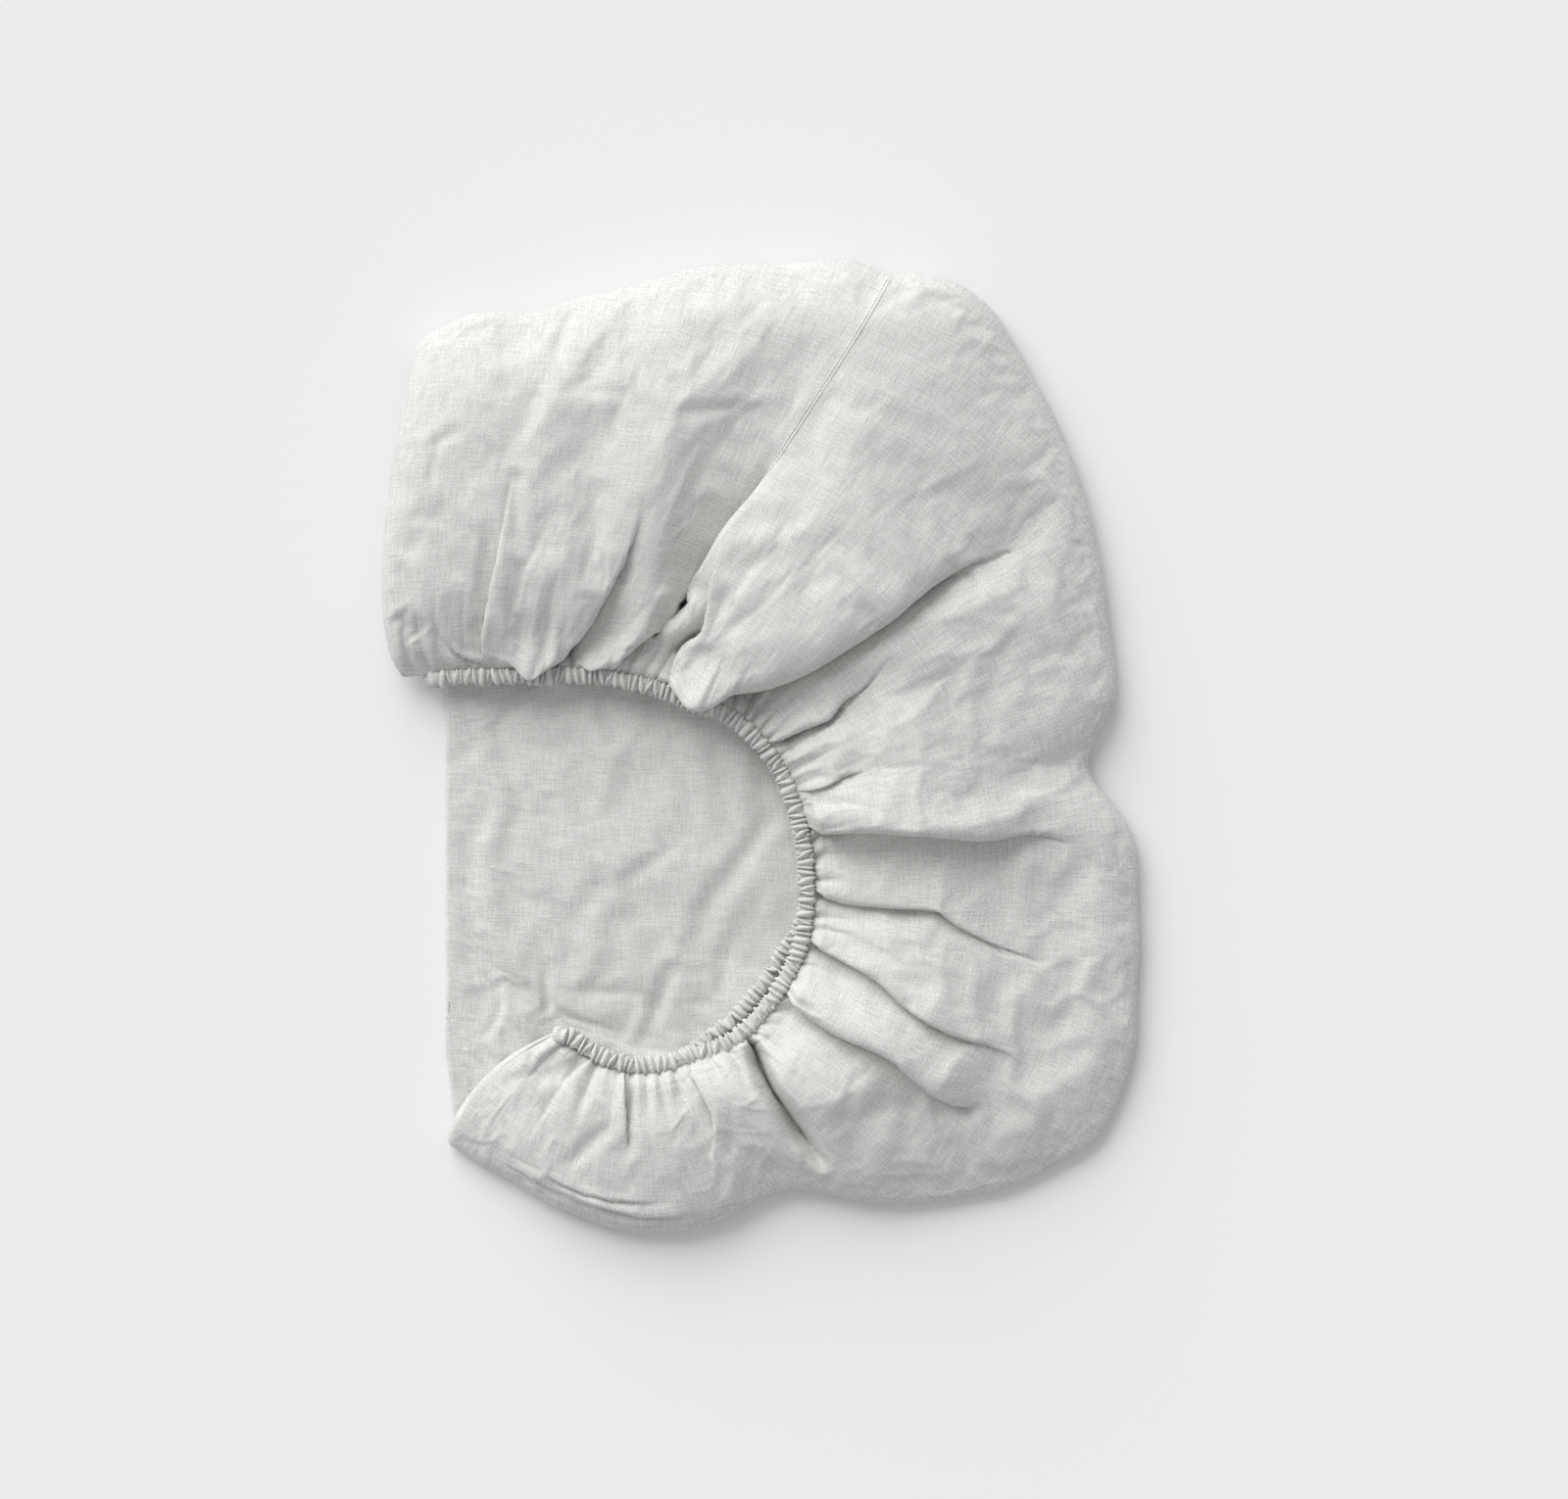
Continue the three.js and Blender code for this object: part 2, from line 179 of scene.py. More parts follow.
# Sections round the mouth, from the upper left end of the rim clockwise to the lower left end.
SECTIONS = (
    Section(-194, 37, 26, -207, 250, 13, 40, 32),
    Section(-179, 38, 28, -182, 262, 14, 46, 22),
    Section(-160, 38, 30, -140, 267, 15, 50, 12),
    Section(-139, 38, 30, -92, 279, 15, 52, 4),
    Section(-118, 39, 30, -41, 291, 15, 54, 0),
    Section(-97, 38, 30, 13, 297, 16, 55, 0),
    Section(-75, 34, 31, 57, 296, 16, 56, 0),
    Section(-59, 30, 31, 83, 291, 17, 58, 0),
    Section(-42, 22, 32, 127, 281, 18, 62, 0),
    Section(-27, 18, 32, 157, 246, 18, 65, 0),
    Section(-14, 10, 32, 183, 198, 18, 65, 0),
    Section(-3, 0, 32, 201, 150, 18, 63, 0),
    Section(8, -15, 32, 212, 98, 18, 60, 0),
    Section(15, -30, 32, 218, 36, 17, 58, 0),
    Section(20, -45, 32, 202, -12, 16, 56, 0),
    Section(23, -62, 32, 228, -48, 16, 55, 0),
    Section(25, -80, 32, 232, -82, 16, 54, 0),
    Section(24, -98, 32, 232, -124, 16, 55, 0),
    Section(22, -116, 31, 232, -172, 16, 56, 0),
    Section(15, -134, 30, 219, -219, 16, 56, 0),
    Section(4, -151, 29, 187, -252, 16, 55, 0),
    Section(-10, -168, 28, 136, -273, 16, 52, 0),
    Section(-26, -178, 27, 70, -279, 15, 48, 0),
    Section(-42, -183, 26, 14, -270, 14, 44, 0),
    Section(-59, -188, 26, -26, -291, 14, 42, 0),
    Section(-75, -189, 26, -74, -297, 13, 40, 0),
    Section(-91, -185, 25, -119, -283, 12, 37, 0),
    Section(-104, -178, 24, -158, -262, 11, 33, -3),
    Section(-112, -172, 24, -183, -247, 11, 29, -8),
    Section(-117, -171, 24, -191, -240, 10, 26, -12),
)


class Side(Enum):
    """The bank of a fold that hangs over it, as the fold is followed outwards."""

    LEFT = 1
    RIGHT = -1


@dataclass(frozen=True)
class Fold:
    """A fold of the wall: a bank that bulges and hangs over a valley beside it.

    The reach of each side is given at the fold's start and at its end.
    """

    line: Line
    side: Side
    depth: float
    swell: float
    bank: tuple[float, float]
    valley: tuple[float, float]
    overlap: float = 1.0
    ease: float = 0.0
    hold: float = 0.6


FOLDS = {
    "arm_lip": Fold(
        ((-164, 50), (-173, 52), (-183, 57), (-191, 66)),
        Side.RIGHT, 5, 1, (5, 6), (4, 4), ease=0.1, hold=0.5,
    ),
    "arm_pleat": Fold(
        ((-165, 44), (-166, 64), (-162, 86), (-157, 110), (-152, 140), (-146, 176)),
        Side.RIGHT, 4, 3, (12, 20), (10, 18), hold=0.45,
    ),
    "pleat_right": Fold(
        ((-129, 48), (-119, 57), (-105, 74), (-91, 99), (-77, 123), (-67, 152)),
        Side.LEFT, 11, 5, (12, 30), (14, 40), hold=0.5,
    ),
    "seam_lobe": Fold(
        ((-91, 42), (-80, 57), (-67, 68), (-53, 81), (-46, 94), (-31, 108)),
        Side.LEFT, 8, 5, (10, 18), (8, 12), hold=0.6,
    ),
    "seam_valley": Fold(
        ((-63, 64), (-50, 78), (-42, 86), (-38, 98), (-28, 112), (-15, 132), (4, 158), (20, 180)),
        Side.RIGHT, 14, 6, (10, 34), (10, 54), ease=0.1, hold=0.65,
    ),
    "shoulder_left": Fold(
        ((-54, 36), (-50, 54), (-42, 64), (-34, 69), (-30, 82), (-26, 98), (-17, 112)),
        Side.RIGHT, 7, 3, (8, 12), (8, 10), hold=0.6,
    ),
    "great_valley": Fold(
        ((-44, 24), (-20, 36), (4, 42), (28, 52), (55, 70), (76, 84), (102, 102), (128, 114), (156, 122)),
        Side.LEFT, 21, 10, (30, 70), (34, 60), hold=0.6,
    ),
    "shoulder_fold": Fold(
        ((6, 2), (29, 12), (43, 18), (52, 28), (66, 36), (82, 53)),
        Side.LEFT, 7, 4, (10, 22), (10, 24), hold=0.5,
    ),
    "short_gather": Fold(
        ((23, -27), (40, -23), (51, -17), (67, -14)),
        Side.LEFT, 5, 3, (8, 12), (8, 12), hold=0.5,
    ),
    "side_ridge": Fold(
        ((23, -32), (40, -32), (60, -32), (80, -33)),
        Side.RIGHT, 3, 1, (6, 10), (4, 7), hold=0.3,
    ),
    "side_fold": Fold(
        ((29, -48), (53, -47), (80, -46), (110, -47), (136, -49), (166, -50), (202, -60)),
        Side.LEFT, 10, 10, (24, 54), (34, 60), hold=0.65,
    ),
    "small_lobe": Fold(((33, -56), (46, -52), (57, -48)), Side.LEFT, 3, 1, (3, 3), (3, 3)),
    "side_pleat": Fold(
        ((32, -86), (52, -92), (76, -94), (108, -96), (124, -106), (148, -120), (184, -133)),
        Side.LEFT, 9, 3, (16, 34), (16, 34), hold=0.6,
    ),
    "lower_trough": Fold(
        ((30, -117), (52, -128), (73, -140), (91, -156), (115, -171), (142, -181), (163, -192)),
        Side.LEFT, 10, 5, (12, 22), (14, 30), hold=0.55,
    ),
    "lower_fold": Fold(
        ((16, -148), (29, -157), (49, -170), (79, -182), (100, -198), (121, -213), (142, -218)),
        Side.LEFT, 10, 10, (18, 36), (34, 64), hold=0.7,
    ),
    "corner_slit": Fold(
        ((-10, -172), (-3, -188), (2, -201), (10, -216), (21, -228), (31, -242), (43, -256)),
        Side.RIGHT, 12, 4, (10, 14), (8, 14), overlap=0.9, hold=0.55,
    ),
    "hem_trough": Fold(
        ((-42, -189), (-40, -198), (-34, -208), (-26, -224), (-26, -238), (-30, -256)),
        Side.LEFT, 6, 3, (8, 12), (12, 18), hold=0.6,
    ),
    "hem_pleat": Fold(
        ((-81, -194), (-82, -208), (-81, -226), (-78, -250)),
        Side.RIGHT, 5, 2, (7, 9), (8, 10), hold=0.6,
    ),
    "hem_ply": Fold(
        ((-158, -252), (-128, -267), (-92, -281), (-60, -286), (-34, -281)),
        Side.LEFT, 3.5, 1.5, (6, 9), (6, 6), ease=0.15, hold=0.7,
    ),
    "hem_under_ply": Fold(
        ((-132, -259), (-108, -270), (-84, -276), (-62, -277)),
        Side.LEFT, 1.8, 1, (5, 7), (4, 4), ease=0.2, hold=0.6,
    ),
    "end_lobe": Fold(
        ((-102, -190), (-110, -197), (-117, -207)),
        Side.LEFT, 4, 1.5, (6, 6), (6, 6),
    ),
}

# A fold's section from bank to valley: share of its reach, push over the valley, lift of the bank or
# drop of the valley.
FOLD_SECTION = np.array([
    (-1.0, 0.0, 0.0),
    (-0.9, -0.06, -0.05),
    (-0.7, -0.25, -0.28),
    (-0.45, -0.6, -0.58),
    (-0.28, -1.0, -0.8),
    (-0.15, -1.2, -1.05),
    (-0.08, -0.8, -1.2),
    (-0.03, 0.3, -0.75),
    (0.02, 0.85, 0.1),
    (0.08, 1.0, 0.65),
    (0.18, 1.0, 0.95),
    (0.34, 0.75, 1.0),
    (0.6, 0.35, 0.6),
    (0.8, 0.12, 0.22),
    (0.92, 0.03, 0.05),
    (1.0, 0.0, 0.0),
])
PUSH_SHARE = 0.22


@dataclass(frozen=True)
class Crease:
    """A soft ridge, or a trough where its height is negative, that widens from its start to its end."""

    line: Line
    height: float
    width: float
    widens: float = 1.0
    starts: float = 0.25
    ends: float = 0.25


# Broad valleys between the lobes of the wall, from the casing outwards.
WALL_VALLEYS = {
    "pleat_valley": Crease(((-118, 46), (-98, 88), (-86, 130), (-70, 190)), -4, 12, 2.2, 0.1, 0.7),
    "seam_valley": Crease(
        ((-71, 44), (-45, 84), (-18, 124), (20, 186), (52, 240), (79, 286)), -11, 14, 2.4, 0.1, 0.5
    ),
    "great_valley": Crease(((-23, 24), (28, 50), (79, 84), (125, 112), (193, 140)), -7, 15, 2.0, 0.1, 0.5),
    "shoulder_valley": Crease(((10, 0), (45, 18), (70, 34), (120, 44)), -5, 8, 2.4, 0.1, 0.7),
    "pleat_trough": Crease(((31, -92), (76, -100), (124, -114), (172, -136)), -4, 9, 1.9, 0.1, 0.6),
    "lower_valley": Crease(((29, -122), (75, -147), (115, -176), (160, -194)), -4, 9, 2.2, 0.1, 0.6),
    "side_lowland": Crease(((36, -80), (100, -86), (160, -94), (222, -98)), -5, 18, 1.5, 0.25, 0.3),
    "lower_lowland": Crease(((36, -112), (90, -128), (150, -156), (200, -186)), -3, 16, 1.6, 0.25, 0.4),
    "slit_valley": Crease(((-8, -180), (7, -212), (45, -256)), -6, 10, 1.3, 0.1, 0.4),
}

# Narrow slits where the wall folds in on itself.
WALL_SLITS = {
    "corner_slit": Crease(
        ((-6, -174), (-2, -190), (3, -202), (10, -214), (21, -230), (29, -240), (40, -253), (50, -264)),
        -26, 4.8, 0.9, 0.2, 0.5,
    ),
    "seam_slit": Crease(((-53, 76), (-47, 86), (-40, 95), (-35, 103)), -16, 3.6),
    "seam_slit_low": Crease(((-51, 56), (-44, 64), (-34, 74)), -8, 3),
    "valley_slit": Crease(((-12, 36), (8, 40), (31, 50), (57, 67), (78, 81), (95, 96)), -9, 3.6),
    "shoulder_slit": Crease(((10, 1), (28, 9), (44, 15), (54, 25)), -6, 3),
    "side_slit": Crease(((40, -51), (62, -50), (84, -51), (112, -52)), -8, 3.6),
    "pleat_slit": Crease(((76, -98), (104, -100), (122, -110), (142, -121)), -6, 3.4),
    "lower_slit": Crease(((20, -154), (45, -172), (75, -186), (98, -202)), -7, 3.6),
    "arm_slit": Crease(((-127, 47), (-116, 55), (-103, 72), (-90, 95)), -6, 3.2),
}

WALL_CREASES = {
    "valley_bank": Crease(((0, 10), (18, 30), (46, 40), (74, 54), (104, 72), (140, 92), (172, 110)), 5, 9),
    "valley_floor": Crease(
        ((-8, 30), (12, 36), (36, 48), (62, 66), (84, 80), (112, 98), (140, 110)), -7, 6.5
    ),
    "lower_bank": Crease(((32, -123), (45, -129), (65, -142), (83, -154), (101, -167)), 3, 5),
    "end_trough": Crease(((-105, -188), (-122, -196), (-140, -206)), -3.5, 8),
    "end_crease": Crease(((-121, -178), (-130, -181), (-137, -186), (-140, -194)), -2, 3),
    "arm_diagonal": Crease(((-84, -226), (-97, -236), (-110, -249), (-120, -258)), -3, 6),
    "arm_ridge": Crease(((-80, 118), (-67, 152), (-58, 194), (-44, 230), (-17, 266), (16, 287)), 4, 14),
    "arm_trough": Crease(((-111, 274), (-118, 250), (-124, 231)), -2.2, 5),
    "arm_step": Crease(((-77, 278), (-104, 236), (-121, 213), (-135, 186)), 2.5, 9),
    "arm_mark": Crease(((-198, 182), (-177, 192)), -1.5, 4),
    "arm_valley": Crease(((-146, 170), (-146, 146), (-144, 114)), -2.5, 6),
    "arm_line": Crease(((-104, 214), (-89, 214), (-75, 212)), -1.4, 3.5),
    "pleat_trough": Crease(((-97, 164), (-99, 128), (-104, 94)), -3, 9),
    "seam_mark": Crease(((-50, 202), (-35, 202), (-20, 204), (-7, 208)), -2, 4),
    "end_dent": Crease(((-220, 82), (-213, 74), (-206, 66)), -3, 7),
    "end_line": Crease(((-208, 57), (-200, 47), (-192, 39)), -2, 3),
    "shoulder_crest": Crease(((70, 240), (46, 200), (20, 164), (4, 130), (-7, 94), (-20, 62)), 3, 12),
    "shoulder_line": Crease(((-43, 38), (-32, 57), (-25, 80), (-17, 100)), -2, 5),
    "valley_mouth": Crease(((191, 149), (167, 141), (147, 123), (127, 110)), -6, 14),
    "valley_crease": Crease(((112, 94), (114, 106), (120, 118)), -3, 5),
    "shoulder_trough": Crease(((46, 16), (67, 28), (94, 34), (133, 28)), -5, 16),
    "side_wave_a": Crease(((168, -62), (160, -85), (166, -112), (160, -140)), 1.8, 7),
    "side_wave_b": Crease(((190, -70), (184, -100), (192, -135), (186, -165), (176, -190)), -2, 8),
    "lower_ridge": Crease(((64, -238), (106, -247), (151, -250)), 2, 6),
    "lower_dent": Crease(((45, -228), (76, -220), (97, -226)), -2.5, 7),
}

PANEL_CREASES = {
    "panel_step": Crease(((16, -34), (-6, -62), (-24, -86), (-44, -104)), -2.6, 7, 1.4),
    "panel_trough": Crease(((-51, -128), (-55, -140), (-60, -153), (-66, -172)), -3.2, 4.5),
    "panel_ridge": Crease(((-68, -158), (-74, -170), (-80, -182)), 2, 4.5),
    "panel_mark": Crease(((-162, -142), (-157, -158), (-168, -180)), -1.3, 4),
    "panel_line": Crease(((-22, -122), (-21, -138), (-22, -154)), -2, 4),
    "upper_dent": Crease(((-84, 0), (-91, 12), (-98, 26)), -2.6, 7),
    "left_wave": Crease(((-162, -28), (-174, -60), (-182, -106)), -1, 8),
    "left_ridge": Crease(((-150, -20), (-163, -60), (-170, -100)), 0.8, 9),
    "middle_wave": Crease(((-50, -58), (-66, -70), (-88, -84)), -1.8, 6),
    "corner_wave": Crease(((-144, 34), (-154, 20), (-164, 4)), -1.2, 6),
    "low_line": Crease(((-112, -146), (-96, -149), (-78, -148)), -1.4, 3.5),
    "mouth_line": Crease(((-128, -130), (-129, -146), (-127, -164)), -1.4, 3.5),
}


@dataclass(frozen=True)
class Tongue:
    """A lobe of the wall that hangs over the casing towards the mouth."""

    x: float
    y: float
    toward_x: float
    toward_y: float
    push: float
    lift: float
    reach: float


TONGUES = (
    Tongue(-139, 55, 0.0, -1.0, 14, 5, 10),
    Tongue(-99, 54, -0.4, -0.9, 8, 4, 8),
    Tongue(-42, 38, -0.3, -1.0, 12, 5, 12),
)


@dataclass
class Spots:
    """Places on the cloth: round the mouth, out over the wall, under its edge and over the floor."""

    place: Array
    wall: Array
    under: Array
    floor: Array
    roll: Array

    @property
    def on_wall(self) -> Array:
        """Which spots lie on the wall."""
        return self.under == 0


@dataclass
class SheetForm:
    """The sheet's middle surface: outer wall, floor, panel and slack inner wall of one folded cloth."""

    fold_x: float = -191
    fold_top: float = 120
    fold_bottom: float = -185
    casing_width: float = 10
    floor_layer: float = 1
    panel_layer: float = 6
    panel_puff: float = 5
    puff_centre: tuple[float, float] = (-90, -70)
    puff_reach: tuple[float, float] = (95, 90)
    inner_layer: float = 9
    inner_rim: float = 10.5
    inner_inset: float = 9
    inner_tuck: float = 5
    inner_peek: tuple[float, float] = (17, 23.5)
    peek_step: float = 9
    peek_run: float = 2
    inner_fall: float = 0.3
    inset_start: float = 0.75
    inset_run: float = 0.25
    roll_share: float = 0.4
    least_slant: float = 0.4
    bow_start: float = 0.3
    bow_end: float = 1.1
    crown_at: float = 0.42
    crown_rise: float = 2.2
    slope_power: float = 1.1
    brow_round: Line = ((0, 8), (9, 8), (14.4, 10), (15.2, 9), (18, 8), (20, 3), (21, 2), (29, 2))
    brow_power: float = 20
    puff_fall: float = 2.7
    puff_root: float = 0.5
    puffed_round: Line = ((0, 1.0), (7, 1.0), (9.5, 0.25), (12, 0.0), (21, 0.0), (23.5, 0.7), (29, 1.0))
    rim_share: float = 0.68
    edge_share: tuple[float, float] = (0.5, 0.6)
    crown_share: Line = (
        (0, 1.0), (7.5, 1.0), (10, 0.88), (14.4, 0.86), (15.2, 0.74),
        (19.6, 0.78), (20.6, 0.86), (22.5, 0.9), (23.5, 0.8), (29, 0.75),
    )
    edge_tuck: float = 14
    edge_step: float = 0.98
    crease_fade: float = 0.05
    crease_fade_share: float = 0.009
    crease_end: float = 0.98
    edge_wobble: float = 3.2
    wobble_step: tuple[float, float] = (1.1, 0.0)
    wobble_start: float = 0.7
    wobble_run: float = 0.3
    wobble_seed: float = 4.0
    gather_width: tuple[float, float] = (5.5, 13)
    gather_height: tuple[float, float] = (2.6, 6.5)
    gather_reach: tuple[float, float] = (12, 42)
    gather_dip: float = 0.5
    gather_power: float = 1.8
    gather_rise: float = 4
    gather_seed: int = 11
    free_start: float = 7
    free_run: float = 12
    calm_share: float = 0.85
    calm_start: float = 0.82
    calm_run: float = 0.18
    wall_bumps: tuple[Bumps, ...] = (Bumps(3.0, 46, 1.0), Bumps(1.1, 17, 5.0))
    panel_bumps: tuple[Bumps, ...] = (Bumps(1.8, 55, 3.0), Bumps(0.9, 17, 8.0))
    taut_share: float = 0.5
    crinkle: float = 3.2
    crinkle_size: float = 26
    crinkle_seed: float = 9.0
    ridge_level: float = 0.35
    slack_round: Line = ((0, 0.35), (6, 0.35), (10, 0.4), (12, 0.65), (16, 0.85), (20, 1.0), (29, 0.8))
    pleat_size: tuple[float, float] = (15, 90)
    pleat_height: float = 1.4
    pleat_reach: float = 95
    pleat_seed: float = 12.0
    pucker_pitch: float = 4.1
    pucker_height: float = 2.0
    pucker_power: float = 0.6
    pucker_level: float = 0.6
    pucker_rise: float = 3
    pucker_reach: float = 7
    hem_share: float = 0.8
    hem_drop: float = 3.5
    hem_rise: float = 9
    tongue_start: float = 9
    tongue_run: float = 7
    rim_step: float = 0.2
    rim_steps: int = 1500
    middle_share: float = 0.45
    end_steps: int = 25
    table: Array = field(init=False)

    def __post_init__(self) -> None:
        """Lays the sections out as one table and finds the folds where the halves meet."""
        self.table = np.array([list(vars(s).values()) for s in SECTIONS], float)
        self.last = len(SECTIONS) - 1
        self.fold_roll = (self.panel_layer - self.floor_layer) / 2
        self.fine = np.linspace(0, self.last, self.rim_steps)
        rim = through(self.table, self.fine)[:, 0:2]
        steps = np.linalg.norm(np.diff(rim, axis=0), axis=1)
        self.rim_run = np.concatenate([[0], np.cumsum(steps)])
        middle = self.wall_plan(self.fine, np.full(len(self.fine), self.middle_share))
        steps = np.linalg.norm(np.diff(middle, axis=0), axis=1)
        self.middle_run = np.concatenate([[0], np.cumsum(steps)])
        ends = np.array([0.0, self.last])
        shares = np.linspace(0, 1, self.end_steps)
        self.end_walls = [self.wall_plan(np.full(self.end_steps, end), shares) for end in ends]
        tip = Spots(ends, np.ones(2), np.ones(2), np.zeros(2), np.full(2, -1.0))
        tips = self.plan_of(tip, np.full(2, 0.5))
        folds = self.fold_place(ends)
        self.floor_fold = np.array([tips[0], folds[0], folds[1], tips[1]])
        self.gathers = self.gather_table()

    def gather_table(self) -> Array:
        """Draws the gathers along the rim at random.

        Returns:
            Start, width, height and reach of each gather.
        """
        rng = np.random.default_rng(self.gather_seed)
        rows = []
        start = 0.0
        while start < self.rim_run[-1]:
            width = rng.uniform(*self.gather_width)
            rows.append((start, width, rng.uniform(*self.gather_height), rng.uniform(*self.gather_reach)))
            start += width
        return np.array(rows)

    def length(self, place: Array) -> Array:
        """Returns the straight width of the wall at each place."""
        s = through(self.table, place)
        return np.hypot(s[:, 3] - s[:, 0], s[:, 4] - s[:, 1])

    def wall_plan(self, place: Array, share: Array) -> Array:
        """Places points on the lines from rim to edge.

        Args:
            place: Places along the rim, counted in sections.
            share: Shares of the way from the rim to the edge.

        Returns:
            Points in plan.
        """
        s = through(self.table, place)
        along = s[:, 3:5] - s[:, 0:2]
        aside = unit(np.stack([-along[:, 1], along[:, 0]], axis=1))
        bow = s[:, 7]
        power = np.where(bow > 0, self.bow_start, self.bow_end)
        peak = power**power / (1 + power) ** (1 + power)
        sideways = bow * np.maximum(share, 0) ** power * (1 - share) / peak
        wobble = crumple(place[:, None] * self.wobble_step, 1.0, self.wobble_seed)
        uneven = self.edge_wobble * wobble * smooth((share - self.wobble_start) / self.wobble_run)
        outward = unit(along) * uneven[:, None]
        return s[:, 0:2] + along * share[:, None] + aside * sideways[:, None] + outward

    def fold_place(self, place: Array) -> Array:
        """Returns points of the panel's straight fold, in plan."""
        y = mix(self.fold_top, self.fold_bottom, place / self.last)
        return np.stack([np.full(len(place), self.fold_x), y], axis=1)

    def towards_mouth(self, place: Array) -> Array:
        """Finds which way the mouth lies from the rim.

        Args:
            place: Places along the rim, counted in sections.

        Returns:
            Directions square to the rim, in plan.
        """
        a = through(self.table, np.maximum(place - self.rim_step, 0))
        b = through(self.table, np.minimum(place + self.rim_step, self.last))
        return unit(np.stack([b[:, 1] - a[:, 1], a[:, 0] - b[:, 0]], axis=1))

    def plan_of(self, spots: Spots, settled: Array) -> Array:
        """Places spots in plan.

        Args:
            spots: The spots to place.
            settled: 0 on the outer half, 1 on the inner half, between them where the halves meet.

        Returns:
            Points in plan.
        """
        ones = np.ones(len(spots.place))
        out = unit(self.wall_plan(spots.place, ones) - self.wall_plan(spots.place, self.edge_step * ones))
        tuck = mix(self.edge_tuck, self.inner_tuck, settled) * (1 - np.cos(spots.under * np.pi / 2))
        inset = self.inner_inset * settled * smooth((spots.wall - self.inset_start) / self.inset_run)
        point = self.wall_plan(spots.place, spots.wall) - out * (tuck + inset)[:, None]
        end = self.fold_place(spots.place)
        over = mix(point, end, spots.floor[:, None])
        back = unit(point - end)
        turn = spots.roll * self.fold_roll / np.maximum(self.least_slant, np.abs(back[:, 0]))
        rolled = end + back * turn[:, None]
        return np.where((spots.roll >= 0)[:, None], rolled, over)

    def gap(self, spots: Spots) -> Array:
        """Measures how far spots lie from the folds where the halves meet.

        Args:
            spots: Where on the cloth.

        Returns:
            Distances in plan.
        """
        half = np.full(len(spots.place), 0.5)
        plan = self.plan_of(spots, half)
        result = np.full(len(plan), np.inf)
        on_wall = spots.on_wall
        for line in self.end_walls:
            result[on_wall] = np.minimum(result[on_wall], beside(line, plan[on_wall]).gap)
        on_floor = (spots.floor > 0) | (spots.roll >= 0)
        result[on_floor] = beside(self.floor_fold, plan[on_floor]).gap
        turned = ~on_wall & ~on_floor
        for end in (0, self.last):
            there = Spots(np.full(len(plan), float(end)), spots.wall, spots.under, spots.floor, spots.roll)
            away = np.linalg.norm(self.plan_of(there, half) - plan, axis=1)
            result[turned] = np.minimum(result, away)[turned]
        return result

    def outer_height(self, spots: Spots) -> Array:
        """Works out heights of the outer half: rim, dome, outer edge, floor.

        Args:
            spots: Where on the cloth.

        Returns:
            Heights before folds and creases.
        """
        s = through(self.table, spots.place)
        puffed = np.interp(spots.place, *np.array(self.puffed_round).T)
        rim, edge = s[:, 2] * self.rim_share, s[:, 5] * mix(*self.edge_share, puffed)
        crown = s[:, 6] * np.interp(spots.place, *np.array(self.crown_share).T)
        climb = 1 - (1 - np.clip(spots.wall / self.crown_at, 0, 1)) ** self.crown_rise
        fall = np.clip((spots.wall - self.crown_at) / (1 - self.crown_at), 0, 1)
        brow = np.interp(spots.place, *np.array(self.brow_round).T)
        slope = mix(crown, edge + brow, fall**self.slope_power)
        slope = slope - brow * (1 - np.sqrt(1 - fall**self.brow_power))
        puff = mix(edge, crown, (1 - fall**self.puff_fall) ** self.puff_root)
        dome = np.where(spots.wall < self.crown_at, mix(rim, crown, climb), mix(slope, puff, puffed))
        turned = mix(edge, self.floor_layer, np.sin(spots.under * np.pi / 2))
        return np.where(spots.on_wall, dome, turned)

    def inner_height(self, spots: Spots, plan: Array) -> Array:
        """Works out heights of the inner half: rim, slack wall, inner edge, panel.

        Args:
            spots: Where on the cloth.
            plan: The same spots in plan.

        Returns:
            Heights before creases.
        """
        puff = bell((plan[:, 0] - self.puff_centre[0]) / self.puff_reach[0])
        puff = puff * bell((plan[:, 1] - self.puff_centre[1]) / self.puff_reach[1])
        panel = self.panel_layer + self.panel_puff * puff
        edge = (self.inner_layer + self.panel_layer) / 2
        turned = mix(edge, panel, np.sin(spots.under * np.pi / 2))
        wall = mix(self.inner_rim, self.inner_layer, smooth(spots.wall / self.inner_fall))
        to_edge = (1 - spots.wall) * self.length(spots.place)
        wall = mix(edge, wall, quarter_round(to_edge / self.inner_tuck))
        return np.where(spots.on_wall, wall, turned)

    def points(self, spots: Spots, inner: bool) -> Array:
        """Works out points of the cloth's middle.

        Args:
            spots: Where on the cloth.
            inner: Whether the spots are on the inner half.

        Returns:
            Points in space.
        """
        gap = self.gap(spots)
        apart = 0.5 * quarter_round(gap / (self.inner_inset / 2))
        plan = self.plan_of(spots, 0.5 + apart if inner else 0.5 - apart)
        high = self.outer_height(spots)
        low = self.inner_height(spots, plan)
        opened = quarter_round(gap / np.maximum(self.fold_roll, self.roll_share * np.abs(high - low)))
        height = mix((high + low) / 2, low if inner else high, opened)
        points = np.column_stack([plan, height])
        if inner:
            return self.settle_inner(spots, points, opened)
        return self.gather_and_fold(spots, points, opened)

    def peek(self, place: Array) -> Array:
        """Returns how far the inner rim shows beside the outer one, from 0 to 1."""
        first, final = self.inner_peek
        return smooth((place - first) / self.peek_run) * smooth((final - place) / self.peek_run)

